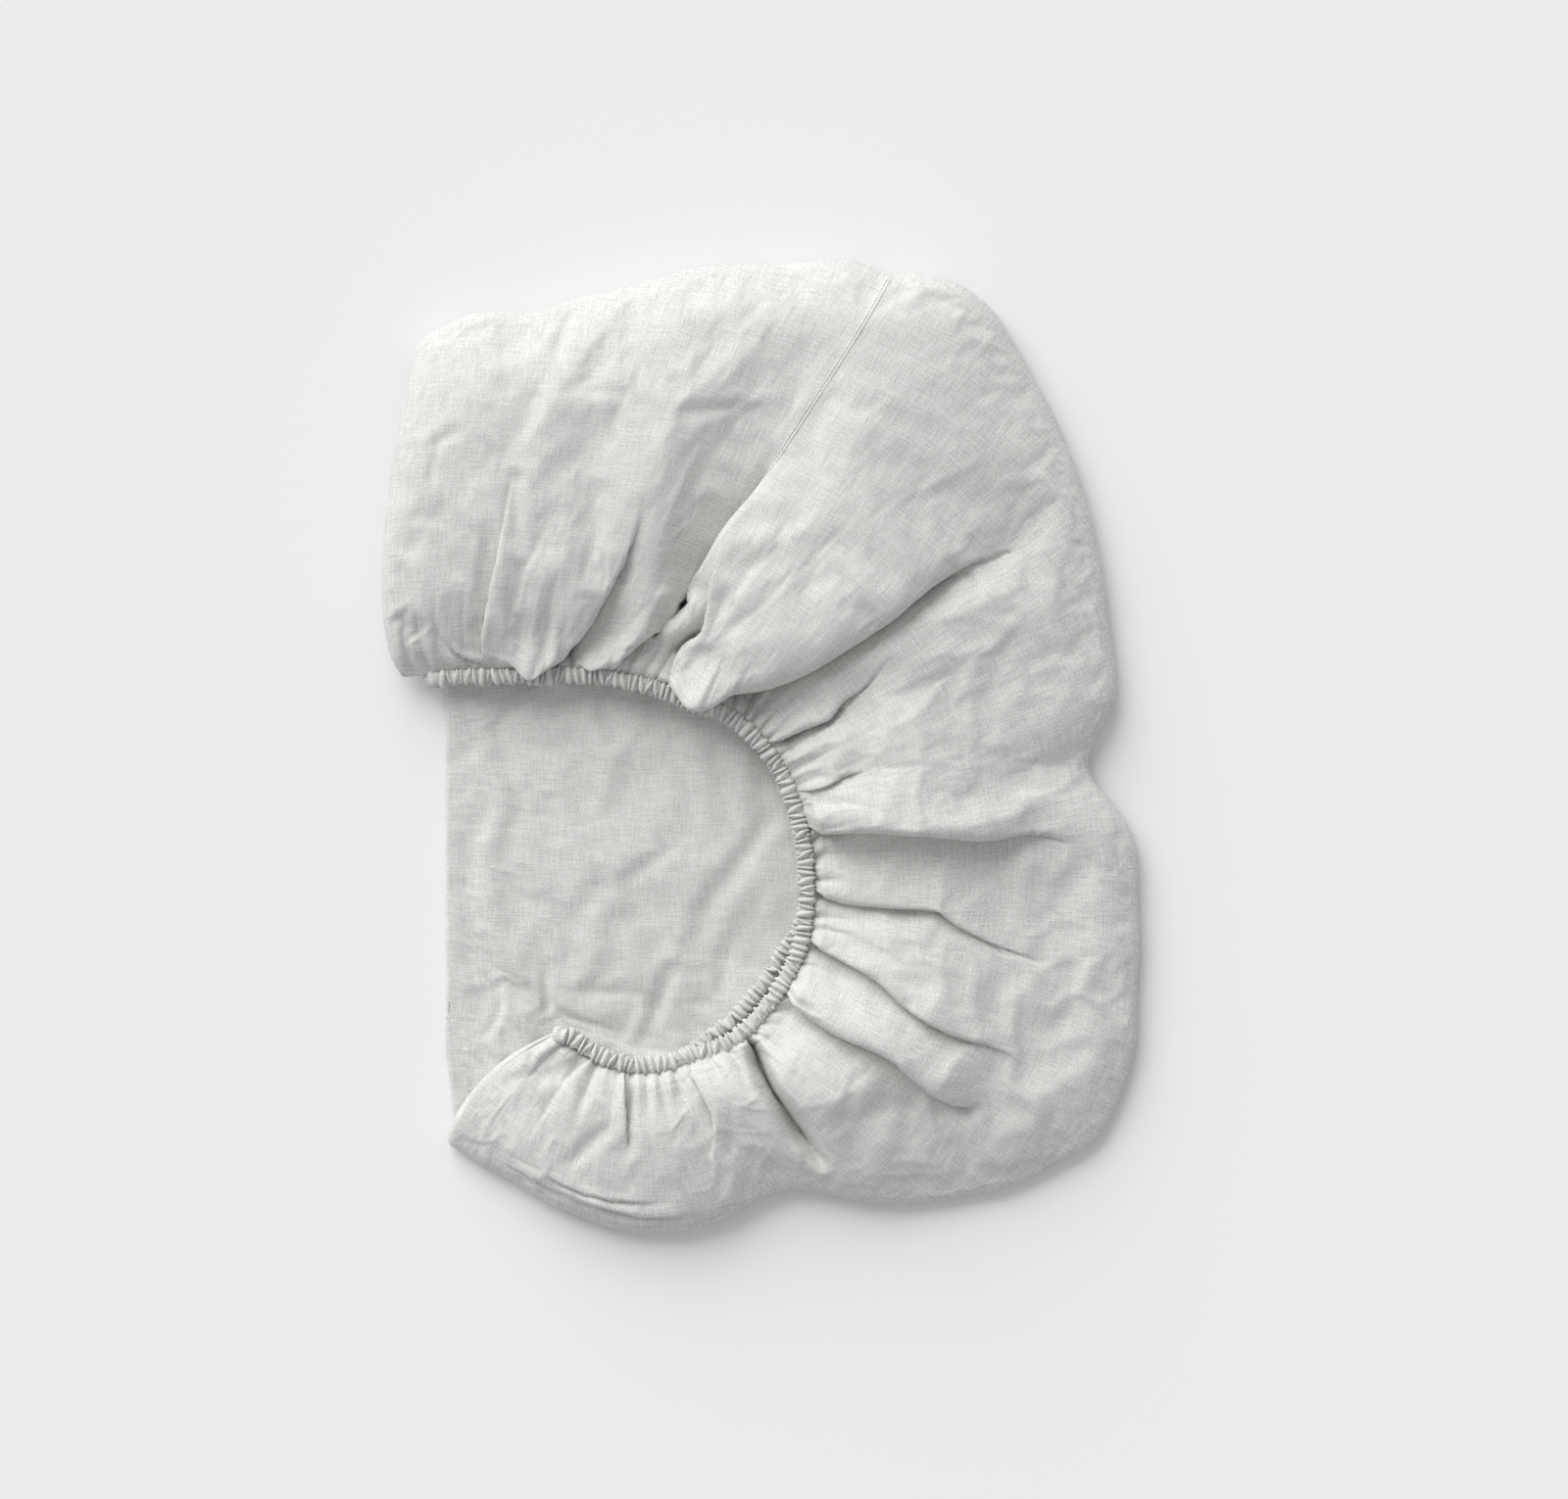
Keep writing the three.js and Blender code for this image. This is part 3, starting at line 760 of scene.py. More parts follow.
    def settle_inner(self, spots: Spots, points: Array, opened: Array) -> Array:
        """Shows the inner rim beside the outer one, and lets the panel lie unevenly.

        Args:
            spots: Where on the cloth.
            points: The same spots in space.
            opened: 0 where the halves meet, 1 away from there.

        Returns:
            The moved points.
        """
        near_rim = 1 - smooth(spots.wall / self.inner_fall)
        step = self.peek_step * self.peek(spots.place) * near_rim * spots.on_wall
        points[:, 0:2] += self.towards_mouth(spots.place) * step[:, None]
        on_panel = ~spots.on_wall
        flat = points[on_panel]
        relief = sum(bumps.over(flat) for bumps in self.panel_bumps)
        for crease in PANEL_CREASES.values():
            relief += self.crease_height(crease, flat[:, 0:2])
        points[on_panel, 2] += relief * opened[on_panel]
        return points

    def gather_and_fold(self, spots: Spots, points: Array, opened: Array) -> Array:
        """Gathers the outer wall along the casing and lays its folds and creases.

        Args:
            spots: Where on the cloth.
            points: The same spots in space.
            opened: 0 where the halves meet, 1 away from there.

        Returns:
            The moved points.
        """
        on_wall = spots.on_wall
        base = points[on_wall]
        plan = base[:, 0:2]
        place = spots.place[on_wall]
        wall = spots.wall[on_wall]
        from_rim = wall * self.length(place)
        free = smooth((from_rim - self.free_start) / self.free_run) * opened[on_wall]
        loose = free * (1 - self.calm_share * smooth((wall - self.calm_start) / self.calm_run))
        moved = base.copy()
        tongues = self.tongue_weights(plan, from_rim)
        moved[:, 2] += self.gather_height_at(place, from_rim) * opened[on_wall] * (1 - tongues.max(axis=0))
        for fold in FOLDS.values():
            moved += self.fold_shift(fold, plan) * loose[:, None]
        for crease in (*WALL_VALLEYS.values(), *WALL_SLITS.values(), *WALL_CREASES.values()):
            fade = self.crease_fade + crease.width * self.crease_fade_share
            moved[:, 2] += self.crease_height(crease, plan) * free * smooth((self.crease_end - wall) / fade)
        slack = np.interp(place, *np.array(self.slack_round).T)
        uneven = sum(bumps.over(plan) for bumps in self.wall_bumps)
        moved[:, 2] += uneven * loose * mix(self.taut_share, 1.0, slack)
        ridges = self.ridge_level - np.abs(crumple(plan, self.crinkle_size, self.crinkle_seed))
        moved[:, 2] += self.crinkle * ridges * loose * slack**2
        moved[:, 2] += self.pleats(place, from_rim) * loose
        for tongue, weight in zip(TONGUES, tongues):
            shift = np.array([tongue.toward_x * tongue.push, tongue.toward_y * tongue.push, tongue.lift])
            moved += weight[:, None] * shift
        moved[:, 2] = np.maximum(moved[:, 2], self.floor_layer + 1)
        points[on_wall] = moved
        return points

    def tongue_weights(self, plan: Array, from_rim: Array) -> Array:
        """Returns how much each tongue moves points of the wall, one row for each tongue."""
        away = [np.hypot(plan[:, 0] - tongue.x, plan[:, 1] - tongue.y) / tongue.reach for tongue in TONGUES]
        return bell(np.array(away)) * smooth((from_rim - self.tongue_start) / self.tongue_run)

    def gather_height_at(self, place: Array, from_rim: Array) -> Array:
        """Works out the ripple that the elastic draws into the wall beside the casing.

        Args:
            place: Places along the rim, counted in sections.
            from_rim: Distances from the rim.

        Returns:
            Heights to add.
        """
        run = np.interp(place, self.fine, self.rim_run)
        before = np.searchsorted(self.gathers[:, 0], run, side="right") - 1
        which = np.clip(before, 0, len(self.gathers) - 1)
        start, width, height, reach = self.gathers[which].T
        across = np.clip((run - start) / width, 0, 1) * 2 - 1
        lobe = 1 - np.abs(across) ** self.gather_power
        past = from_rim - self.hem_share * self.casing_width
        ripple = height * (lobe - self.gather_dip) * smooth(past / self.gather_rise) * bell(past / reach)
        pucker = np.abs(np.sin(np.pi * run / self.pucker_pitch)) ** self.pucker_power - self.pucker_level
        pucker = self.pucker_height * pucker * smooth(past / self.pucker_rise)
        pucker = pucker * bell(past / self.pucker_reach)
        sunk = self.hem_drop * (1 - smooth(past / self.hem_rise))
        return ripple + pucker - sunk

    def pleats(self, place: Array, from_rim: Array) -> Array:
        """Works out long shallow creases that run out from the casing and fade over the wall.

        Args:
            place: Places along the rim, counted in sections.
            from_rim: Distances from the rim.

        Returns:
            Heights to add.
        """
        run = np.interp(place, self.fine, self.middle_run)
        size_round, size_out = self.pleat_size
        drawn = np.column_stack([run / size_round, from_rim / size_out])
        creased = self.ridge_level - np.abs(crumple(drawn, 1.0, self.pleat_seed))
        return self.pleat_height * creased * bell(from_rim / self.pleat_reach)

    @staticmethod
    def fold_shift(fold: Fold, plan: Array) -> Array:
        """Works out how a fold moves points of the wall.

        Args:
            fold: The fold.
            plan: Points of the unfolded wall, in plan.

        Returns:
            The shift of each point.
        """
        shift = np.zeros((len(plan), 3))
        line = smooth_line(fold.line)
        margin = max(*fold.bank, *fold.valley)
        low, high = line.min(axis=0) - margin, line.max(axis=0) + margin
        near = np.nonzero(np.all((plan > low) & (plan < high), axis=1))[0]
        if not len(near):
            return shift
        spot = beside(line, plan[near])
        bank = mix(*fold.bank, spot.along)
        valley = mix(*fold.valley, spot.along)
        across = spot.across * fold.side.value
        share = np.clip(across / np.where(across > 0, bank, valley), -1, 1)
        section = through(FOLD_SECTION, np.interp(share, FOLD_SECTION[:, 0], np.arange(len(FOLD_SECTION))))
        fade = 1 - smooth((spot.along - fold.hold) / (1 - fold.hold))
        if fold.ease:
            fade = fade * smooth(spot.along / fold.ease)
        push = PUSH_SHARE * fold.overlap * np.sqrt(bank * valley) * section[:, 1] * fade
        shift[near, 0:2] = -spot.left * (fold.side.value * push)[:, None]
        shift[near, 2] = np.where(share > 0, fold.swell, fold.depth) * section[:, 2] * fade
        return shift

    @staticmethod
    def crease_height(crease: Crease, plan: Array) -> Array:
        """Works out what a soft ridge or trough adds.

        Args:
            crease: The ridge or trough.
            plan: Points in plan.

        Returns:
            Heights to add.
        """
        spot = beside(smooth_line(crease.line), plan)
        taper = smooth(spot.along / crease.starts) * smooth((1 - spot.along) / crease.ends)
        width = crease.width * mix(1, crease.widens, spot.along)
        return crease.height * bell(spot.across / width) * taper


@dataclass
class MeshKit:
    """Makes mesh objects of the sheet's pieces."""

    name: str

    def build(
        self, points: Array, faces: list[tuple[int, ...]], uvs: Array | None = None
    ) -> bpy.types.Object:
        """Makes a smooth-shaded object.

        Args:
            points: Vertices in millimetres.
            faces: Corners of each face.
            uvs: Cloth coordinates of each vertex in metres, for the weave.

        Returns:
            The new object, linked to the scene.
        """
        mesh = bpy.data.meshes.new(self.name)
        mesh.from_pydata((points * MM).tolist(), [], faces)
        if uvs is not None:
            layer = mesh.uv_layers.new(name="cloth")
            corners = np.empty(len(mesh.loops), dtype=np.int32)
            mesh.loops.foreach_get("vertex_index", corners)
            layer.data.foreach_set("uv", uvs[corners].astype(np.float32).ravel())
        mesh.shade_smooth()
        mesh.update()
        piece = bpy.data.objects.new(self.name, mesh)
        bpy.context.scene.collection.objects.link(piece)
        return piece


@dataclass(frozen=True)
class WashedCrumple:
    """Lets cloth that is a little too long for its shape buckle into small creases."""

    frames: int = 18
    growth: tuple[float, float] = (0.015, 0.06)
    hold: float = 0.05
    tension: float = 20.0
    bending: float = 0.1
    mass: float = 0.1
    air: float = 4.0
    quality: int = 3
    weight_levels: int = 200

    def weigh(self, piece: bpy.types.Object, name: str, weights: Array) -> None:
        """Gives a piece a vertex group with weights rounded to a few levels.

        Args:
            piece: The piece.
            name: The group's name.
            weights: A weight for each vertex, from 0 to 1.
        """
        group = piece.vertex_groups.new(name=name)
        levels = np.round(weights * self.weight_levels).astype(int)
        for level in np.unique(levels):
            group.add(np.nonzero(levels == level)[0].tolist(), level / self.weight_levels, "REPLACE")

    def settle(self, piece: bpy.types.Object, held: Array, slack: Array) -> None:
        """Buckles a piece in place.

        Args:
            piece: The cloth.
            held: How firmly each vertex keeps its place, 1 where it is fixed.
            slack: How much too long the cloth is at each vertex, from 0 to 1.
        """
        self.weigh(piece, "held", held)
        self.weigh(piece, "slack", slack)
        modifier = piece.modifiers.new("crumple", "CLOTH")
        cloth = modifier.settings
        cloth.quality = self.quality
        cloth.mass = self.mass
        cloth.air_damping = self.air
        cloth.tension_stiffness = self.tension
        cloth.compression_stiffness = self.tension
        cloth.shear_stiffness = self.tension / 4
        cloth.bending_stiffness = self.bending
        cloth.shrink_min = -self.growth[0]
        cloth.shrink_max = -self.growth[1]
        cloth.vertex_group_shrink = "slack"
        cloth.vertex_group_mass = "held"
        cloth.pin_stiffness = 1.0
        cloth.effector_weights.gravity = 0.0
        modifier.collision_settings.use_collision = False
        modifier.point_cache.frame_start = 1
        modifier.point_cache.frame_end = self.frames
        for frame_number in range(1, self.frames + 1):
            bpy.context.scene.frame_set(frame_number)
        settled = piece.evaluated_get(bpy.context.evaluated_depsgraph_get()).data
        points = np.empty(len(settled.vertices) * 3, dtype=np.float32)
        settled.vertices.foreach_get("co", points)
        piece.modifiers.remove(modifier)
        piece.vertex_groups.clear()
        bpy.context.scene.frame_set(1)
        piece.data.vertices.foreach_set("co", points)
        piece.data.update()


@dataclass
class ClothSheet:
    """The cloth itself: one sheet from the outer rim round to the inner rim."""

    form: SheetForm
    columns: int = 600
    wall_rows: int = 90
    under_rows: int = 6
    floor_rows: int = 9
    panel_rows: int = 88
    inner_rows: int = 20
    hem_depth: float = 7
    fold_rolls: tuple[float, ...] = (0.9, 0.6, 0.3, 0.1, 0.0)
    panel_slack: float = 0.65
    slack_start: float = 26
    rim_crowding: tuple[float, float] = (1.5, 0.14)
    edge_crowding: tuple[float, float] = (2.2, 0.06)
    crowding_steps: int = 400
    floor_end: float = 0.97
    panel_end: float = 0.985
    rim_hold: float = 8
    edge_hold: float = 0.04
    wall_fold_hold: float = 10
    panel_edge_hold: float = 0.2
    panel_fold_hold: float = 12
    crumple: WashedCrumple = WashedCrumple()

    def wall_shares(self, places: Array, rows: int) -> Array:
        """Spaces rows across the wall, closer together by the casing and the edge.

        Args:
            places: Places of the columns.
            rows: How many rows.

        Returns:
            Shares across the wall for each column.
        """
        start = self.hem_depth / self.form.length(places)
        t = np.linspace(0, 1, self.crowding_steps)
        (rim_extra, rim_reach), (edge_extra, edge_reach) = self.rim_crowding, self.edge_crowding
        density = 1 + rim_extra * bell(t / rim_reach) + edge_extra * bell((1 - t) / edge_reach)
        run = np.concatenate([[0], np.cumsum((density[1:] + density[:-1]) / 2)])
        even = np.interp(np.linspace(0, run[-1], rows), run, t)
        return start[:, None] + (1 - start[:, None]) * even[None, :]

    def spots(self, places: Array, wall_rows: int, floor: Array) -> Spots:
        """Lays spots out on one half of the cloth.

        Args:
            places: Where the columns stand round the mouth.
            wall_rows: How many rows lie on the wall.
            floor: Shares from the turned edge to the panel's fold, without its roll.

        Returns:
            Spots in column order, from rim to fold.
        """
        under = np.linspace(0, 1, self.under_rows + 1)[1:]
        roll = np.array(self.fold_rolls)
        tail = len(under) + len(floor) + len(roll)
        shares = self.wall_shares(places, wall_rows)
        wall = np.hstack([shares, np.ones((len(places), tail))])
        rows = np.concatenate
        turned = rows([np.zeros(wall_rows), under, np.ones(len(floor) + len(roll))])
        over = rows([np.zeros(wall_rows + len(under)), floor, np.zeros(len(roll))])
        rolled = rows([np.full(wall_rows + len(under) + len(floor), -1.0), roll])
        spread = [np.tile(row, len(places)) for row in (turned, over, rolled)]
        return Spots(np.repeat(places, wall.shape[1]), wall.ravel(), *spread)

    def join_ends(self, outer: Spots, outer_points: Array, inner: Spots, inner_points: Array) -> None:
        """Lays both ends of the outer half exactly on those of the inner half, where the cloth is folded.

        Args:
            outer: The spots of the outer half.
            outer_points: Their points, which are moved.
            inner: The spots of the inner half.
            inner_points: Their points.
        """
        outer_run = (outer.wall + outer.under + outer.floor).reshape(self.columns + 1, -1)
        inner_run = (inner.wall + inner.under + inner.floor).reshape(self.columns // 2 + 1, -1)
        outer_grid = outer_points.reshape(*outer_run.shape, 3)
        inner_grid = inner_points.reshape(*inner_run.shape, 3)
        before_roll = slice(0, -len(self.fold_rolls))
        for end in (0, -1):
            run, known = outer_run[end, before_roll], inner_run[end, before_roll]
            for axis in range(3):
                outer_grid[end, before_roll, axis] = np.interp(run, known, inner_grid[end, before_roll, axis])

    def cloth_uv(self, spots: Spots, points: Array) -> Array:
        """Works out coordinates on the cloth: round the wall and across it, or along the flat panel.

        Args:
            spots: Where on the cloth.
            points: The same spots in space.

        Returns:
            Coordinates in metres.
        """
        form = self.form
        round_wall = np.interp(spots.place, form.fine, form.middle_run)
        across = spots.wall * form.length(spots.place)
        on_wall = np.column_stack([round_wall, across])
        return np.where(spots.on_wall[:, None], on_wall, points[:, 0:2]) * MM

    def build(self) -> bpy.types.Object:
        """Makes the sheet.

        Returns:
            The sheet's object.
        """
        places = np.linspace(0, self.form.last, self.columns + 1)
        floor = np.linspace(0, 1, self.floor_rows + 2)[1:-1] * self.floor_end
        panel = np.linspace(0, 1, self.panel_rows + 2)[1:-1] * self.panel_end
        outer = self.spots(places, self.wall_rows, floor)
        inner = self.spots(places[::2], self.inner_rows, panel)
        outer_points = self.form.points(outer, inner=False)
        inner_points = self.form.points(inner, inner=True)
        self.join_ends(outer, outer_points, inner, inner_points)
        points = np.vstack([outer_points, inner_points])
        uvs = np.vstack([self.cloth_uv(outer, outer_points), self.cloth_uv(inner, inner_points)])
        outer_count = len(outer_points) // len(places)
        faces, used = self.faces(outer_count, len(inner_points) // len(places[::2]))
        keep = np.unique(np.concatenate([np.ravel(f) for f in used]))
        renumber = np.full(len(points), -1)
        renumber[keep] = np.arange(len(keep))
        corners = [tuple(int(renumber[i]) for i in face) for face in faces]
        sheet = MeshKit("linen_sheet").build(points[keep], corners, uvs[keep])
        held = np.concatenate([self.wall_held(outer), self.panel_held(inner)])
        slack = np.concatenate([self.wall_slack(outer), np.full(len(inner_points), self.panel_slack)])
        self.crumple.settle(sheet, held[keep], slack[keep])
        settled = np.empty(len(keep) * 3, dtype=np.float32)
        sheet.data.vertices.foreach_get("co", settled)
        rows = renumber[: len(outer_points)].reshape(len(places), outer_count)[:, : self.wall_rows]
        self.wall_grid = settled.reshape(-1, 3)[rows].astype(float) / MM
        self.wall_share = outer.wall.reshape(len(places), outer_count)[:, : self.wall_rows]
        return sheet

    def surface(self, place: Array, share: Array) -> tuple[Array, Array, Array]:
        """Reads the settled wall.

        Args:
            place: Places round the mouth.
            share: Shares across the wall.

        Returns:
            Points of the wall, its upward normals, and its steps for one place round the mouth.
        """
        column = place / self.form.last * self.columns
        i = np.clip(column.astype(int), 0, self.columns - 1)
        numbers = np.arange(self.wall_rows)
        row = np.array([np.interp(s, self.wall_share[k], numbers) for s, k in zip(share, i)])
        j = np.clip(row.astype(int), 0, self.wall_rows - 2)
        u = (column - i)[:, None]
        v = (row - j)[:, None]
        grid = self.wall_grid
        near, far = mix(grid[i, j], grid[i, j + 1], v), mix(grid[i + 1, j], grid[i + 1, j + 1], v)
        out = mix(grid[i, j + 1] - grid[i, j], grid[i + 1, j + 1] - grid[i + 1, j], u)
        step = (far - near) * self.columns / self.form.last
        return mix(near, far, u), unit(np.cross(far - near, out)), step

    def wall_held(self, spots: Spots) -> Array:
        """Works out how firmly the outer half keeps its place: fixed by the casing and below.

        Args:
            spots: Where on the cloth.

        Returns:
            Weights from 0 to 1.
        """
        from_rim = spots.wall * self.form.length(spots.place) - self.form.casing_width
        loose = smooth(from_rim / self.rim_hold) * smooth((1 - spots.wall) / self.edge_hold)
        loose = loose * smooth(self.form.gap(spots) / self.wall_fold_hold) * spots.on_wall
        return mix(1.0, self.crumple.hold, loose)

    def wall_slack(self, spots: Spots) -> Array:
        """Returns how slack the wall is: the upper arm lies smooth and the lower right is crumpled."""
        slack = np.interp(spots.place, *np.array(self.form.slack_round).T)
        return slack * smooth(self.form.gap(spots) / self.slack_start)

    def panel_held(self, spots: Spots) -> Array:
        """Works out how firmly the inner half keeps its place: only the panel is loose.

        Args:
            spots: Where on the cloth.

        Returns:
            Weights from 0 to 1.
        """
        loose = smooth(spots.floor / self.panel_edge_hold)
        loose = loose * smooth(self.form.gap(spots) / self.panel_fold_hold)
        return mix(1.0, self.crumple.hold, loose)

    def faces(self, outer_count: int, inner_count: int) -> tuple[list[tuple[int, ...]], list[Array]]:
        """Joins the points of both halves.

        Args:
            outer_count: Rows of the outer half.
            inner_count: Rows of the inner half.

        Returns:
            Corners of each face, and the same corners as arrays.
        """
        columns = self.columns
        outer = np.arange((columns + 1) * outer_count).reshape(columns + 1, outer_count)
        half = columns // 2
        inner = np.arange((half + 1) * inner_count).reshape(half + 1, inner_count) + outer.size
        turn = self.wall_rows + self.under_rows - 1
        wall = self.grid(outer[:, : turn + 1])
        near, middle, far = outer[:-2:2], outer[1:-1:2], outer[2::2]
        floor = self.grid(outer[::2, turn + 1 :])
        stitch = np.concatenate([
            np.stack([near[:, turn], middle[:, turn], near[:, turn + 1]], axis=1),
            np.stack([middle[:, turn], far[:, turn + 1], near[:, turn + 1]], axis=1),
            np.stack([middle[:, turn], far[:, turn], far[:, turn + 1]], axis=1),
        ])
        under = self.grid(inner)[:, ::-1]
        faces: list[tuple[int, ...]] = []
        used = [wall, floor, stitch, under]
        for group in used:
            faces.extend(map(tuple, group.tolist()))
        return faces, used

    @staticmethod
    def grid(index: Array) -> Array:
        """Makes the quads of a grid of vertices, wound upwards.

        Args:
            index: The grid of vertex numbers.

        Returns:
            Four vertex numbers for each quad.
        """
        a, b = index[:-1, :-1], index[1:, :-1]
        c, d = index[1:, 1:], index[:-1, 1:]
        return np.stack([a, b, c, d], axis=-1).reshape(-1, 4)


@dataclass
class Casing:
    """The hem that holds the elastic: one puckered tube round the outer rim and back along the inner."""

    form: SheetForm
    width: float = 10.0
    thickness: float = 7.0
    tilt: float = 0.25
    step: float = 0.45
    around: int = 20
    pucker_height: float = 4.2
    scallop: float = 1.7
    crease_width: float = 0.17
    slant: float = 0.7
    wander: float = 0.8
    wander_noise: tuple[tuple[float, float], ...] = ((17, 2.0), (17, 6.0), (21, 9.0))
    over_rim: float = 2.5
    pitch_spread: float = 0.32
    height_spread: tuple[float, float] = (0.5, 1.3)
    squareness: float = 0.75
    rib_shape: tuple[float, float, float] = (0.75, 0.25, 0.6)
    seed: int = 4
    turn_steps: int = 14

    def run(self, outer: bool) -> tuple[Array, Array]:
        """Follows one rim.

        Args:
            outer: Whether to follow the outer rim or the inner one.

        Returns:
            Points of the casing's middle, and the direction of its width at each.
        """
        form = self.form
        count = int(form.rim_run[-1] / self.step)
        place = np.interp(np.linspace(0, form.rim_run[-1], count), form.rim_run, form.fine)
        rim = through(form.table, place)[:, 0:3]
        mouth = form.towards_mouth(place)
        if outer:
            height = rim[:, 2] * form.rim_share + self.over_rim
            shift = -mouth * self.width * 0.5
        else:
            height = np.full(count, form.inner_rim)
            shift = mouth * (form.peek_step * form.peek(place) - self.width * 0.5)[:, None]
        tilt = np.full(count, self.tilt if outer else 0.0)
        return np.column_stack([rim[:, 0:2] + shift, height]), unit(np.column_stack([-mouth, tilt]))

    def loop(self) -> tuple[Array, Array]:
        """Joins both rims into one closed loop with a turn at each end.

        Returns:
            Points of the casing's middle, and the direction of its width at each.
        """
        top, top_width = self.run(outer=True)
        low, low_width = self.run(outer=False)
        low, low_width = low[::-1], low_width[::-1]
        path, widths = [], []
        turns = ((top, top_width, low, low_width), (low, low_width, top, top_width))
        for points, across, after, after_width in turns:
            path.append(points)
            widths.append(across)
            ahead = unit(points[-1] - points[-4])
            angle = np.linspace(0, np.pi, self.turn_steps + 2)[1:-1, None]
            middle = (points[-1] + after[0]) / 2
            arm = (points[-1] - after[0]) / 2
            path.append(middle + arm * np.cos(angle) + ahead * np.sin(angle) * np.linalg.norm(arm))
            widths.append(unit(mix(across[-1], after_width[0], angle / np.pi)))
        return np.vstack(path), np.vstack(widths)

    def build(self) -> bpy.types.Object:
        """Makes the casing.

        Returns:
            The casing's object.
        """
        path, across = self.loop()
        drift = [crumple(path, size, seed) for size, seed in self.wander_noise]
        path = path + self.wander * np.column_stack(drift)
        ahead = unit(np.roll(path, -1, axis=0) - np.roll(path, 1, axis=0))
        up = unit(np.cross(ahead, across))
        across = np.cross(up, ahead)
        run = np.cumsum(np.linalg.norm(np.roll(path, -1, axis=0) - path, axis=1))
        pitches = max(1, round(run[-1] / self.form.pucker_pitch))
        rng = np.random.default_rng(self.seed)
        shifts = rng.uniform(-self.pitch_spread, self.pitch_spread, pitches - 1)
        edges = np.sort(np.arange(pitches + 1) + np.concatenate([[0], shifts, [0]]))
        phase = np.interp(run / run[-1] * pitches, edges, np.arange(pitches + 1))
        which = np.clip(phase.astype(int), 0, pitches - 1)
        height = self.pucker_height * rng.uniform(*self.height_spread, pitches)[which]
        slant = self.slant * rng.uniform(-1, 1, pitches)[which]
        angle = np.linspace(0, 2 * np.pi, self.around, endpoint=False)
        side = np.sign(np.cos(angle)) * np.abs(np.cos(angle)) ** self.squareness
        face = np.sign(np.sin(angle)) * np.abs(np.sin(angle)) ** self.squareness
        shifted = phase[:, None] + slant[:, None] * side[None, :] * np.sin(np.pi * (phase % 1))[:, None]
        from_crease = np.abs(shifted - np.round(shifted))
        flat, arch, level = self.rib_shape
        rib = (1 - bell(from_crease / self.crease_width)) * (flat + arch * np.sin(np.pi * from_crease))
        rib = rib - level
        half_width = self.width / 2 + self.scallop * rib
        half_thick = self.thickness / 2 + height[:, None] * rib
        points = (
            path[:, None, :]
            + across[:, None, :] * (half_width * side)[:, :, None]
            + up[:, None, :] * (half_thick * face)[:, :, None]
        )
        count = len(path)
        index = np.arange(count * self.around).reshape(count, self.around)
        index = np.vstack([index, index[:1]])
        index = np.hstack([index, index[:, :1]])
        faces = [tuple(face) for face in ClothSheet.grid(index).tolist()]
        ring = np.append(angle, 0)[:-1] / (2 * np.pi) * (self.width + self.thickness) * 2
        uvs = np.stack(np.broadcast_arrays(run[:, None], ring[None, :]), axis=-1).reshape(-1, 2) * MM
        return MeshKit("elastic_casing").build(points.reshape(-1, 3), faces, uvs)


@dataclass
class Stitches:
    """Rows of short thread stitches."""

    length: float = 2.0
    radius: float = 0.22
    sides: int = 6
    lift_share: float = 0.4
    lean: tuple[float, float, float] = (0.3, 0.2, 1.0)
    rings: Line = ((0.0, 0.35), (0.12, 0.85), (0.5, 1.0), (0.88, 0.85), (1.0, 0.35))

    def row(self, points: Array, normals: Array, pitch: float) -> list[tuple[Array, Array]]:
        """Lays stitches along a line.

        Args:
            points: The line.
            normals: Which way the cloth faces along it.
            pitch: Distance from one stitch to the next.

        Returns:
            The two ends of each stitch, just above the cloth.
        """
        run = np.concatenate([[0], np.cumsum(np.linalg.norm(np.diff(points, axis=0), axis=1))])
        raised = points + normals * self.radius * self.lift_share
        starts = np.arange(pitch / 2, run[-1] - self.length, pitch)
        ends = [
            np.column_stack([np.interp(along, run, raised[:, axis]) for axis in range(3)])
            for along in (starts, starts + self.length)
        ]
        return list(zip(*ends))

    def build(self, name: str, stitches: list[tuple[Array, Array]]) -> bpy.types.Object:
        """Makes one object of rounded stitches.

        Args:
            name: The object's name.
            stitches: The two ends of each stitch.

        Returns:
            The stitches' object.
        """
        angle = np.linspace(0, 2 * np.pi, self.sides, endpoint=False)
        index = np.arange(len(self.rings) * self.sides).reshape(len(self.rings), self.sides)
        sides = ClothSheet.grid(np.hstack([index, index[:, :1]]))
        faces = [tuple(face) for face in sides.tolist()]
        faces += [tuple(index[0].tolist()), tuple(index[-1, ::-1].tolist())]
        points, corners = [], []
        for start, end in stitches:
            ahead = unit(end - start)
            aside = unit(np.cross(ahead, self.lean))
            up = np.cross(aside, ahead)
            base = len(points) * len(self.rings) * self.sides
            round_it = np.cos(angle)[:, None] * aside + np.sin(angle)[:, None] * up
            points.append(np.vstack([mix(start, end, t) + round_it * self.radius * r for t, r in self.rings]))
            corners.extend(tuple(base + k for k in face) for face in faces)
        return MeshKit(name).build(np.vstack(points), corners, np.vstack(points)[:, 0:2] * MM)


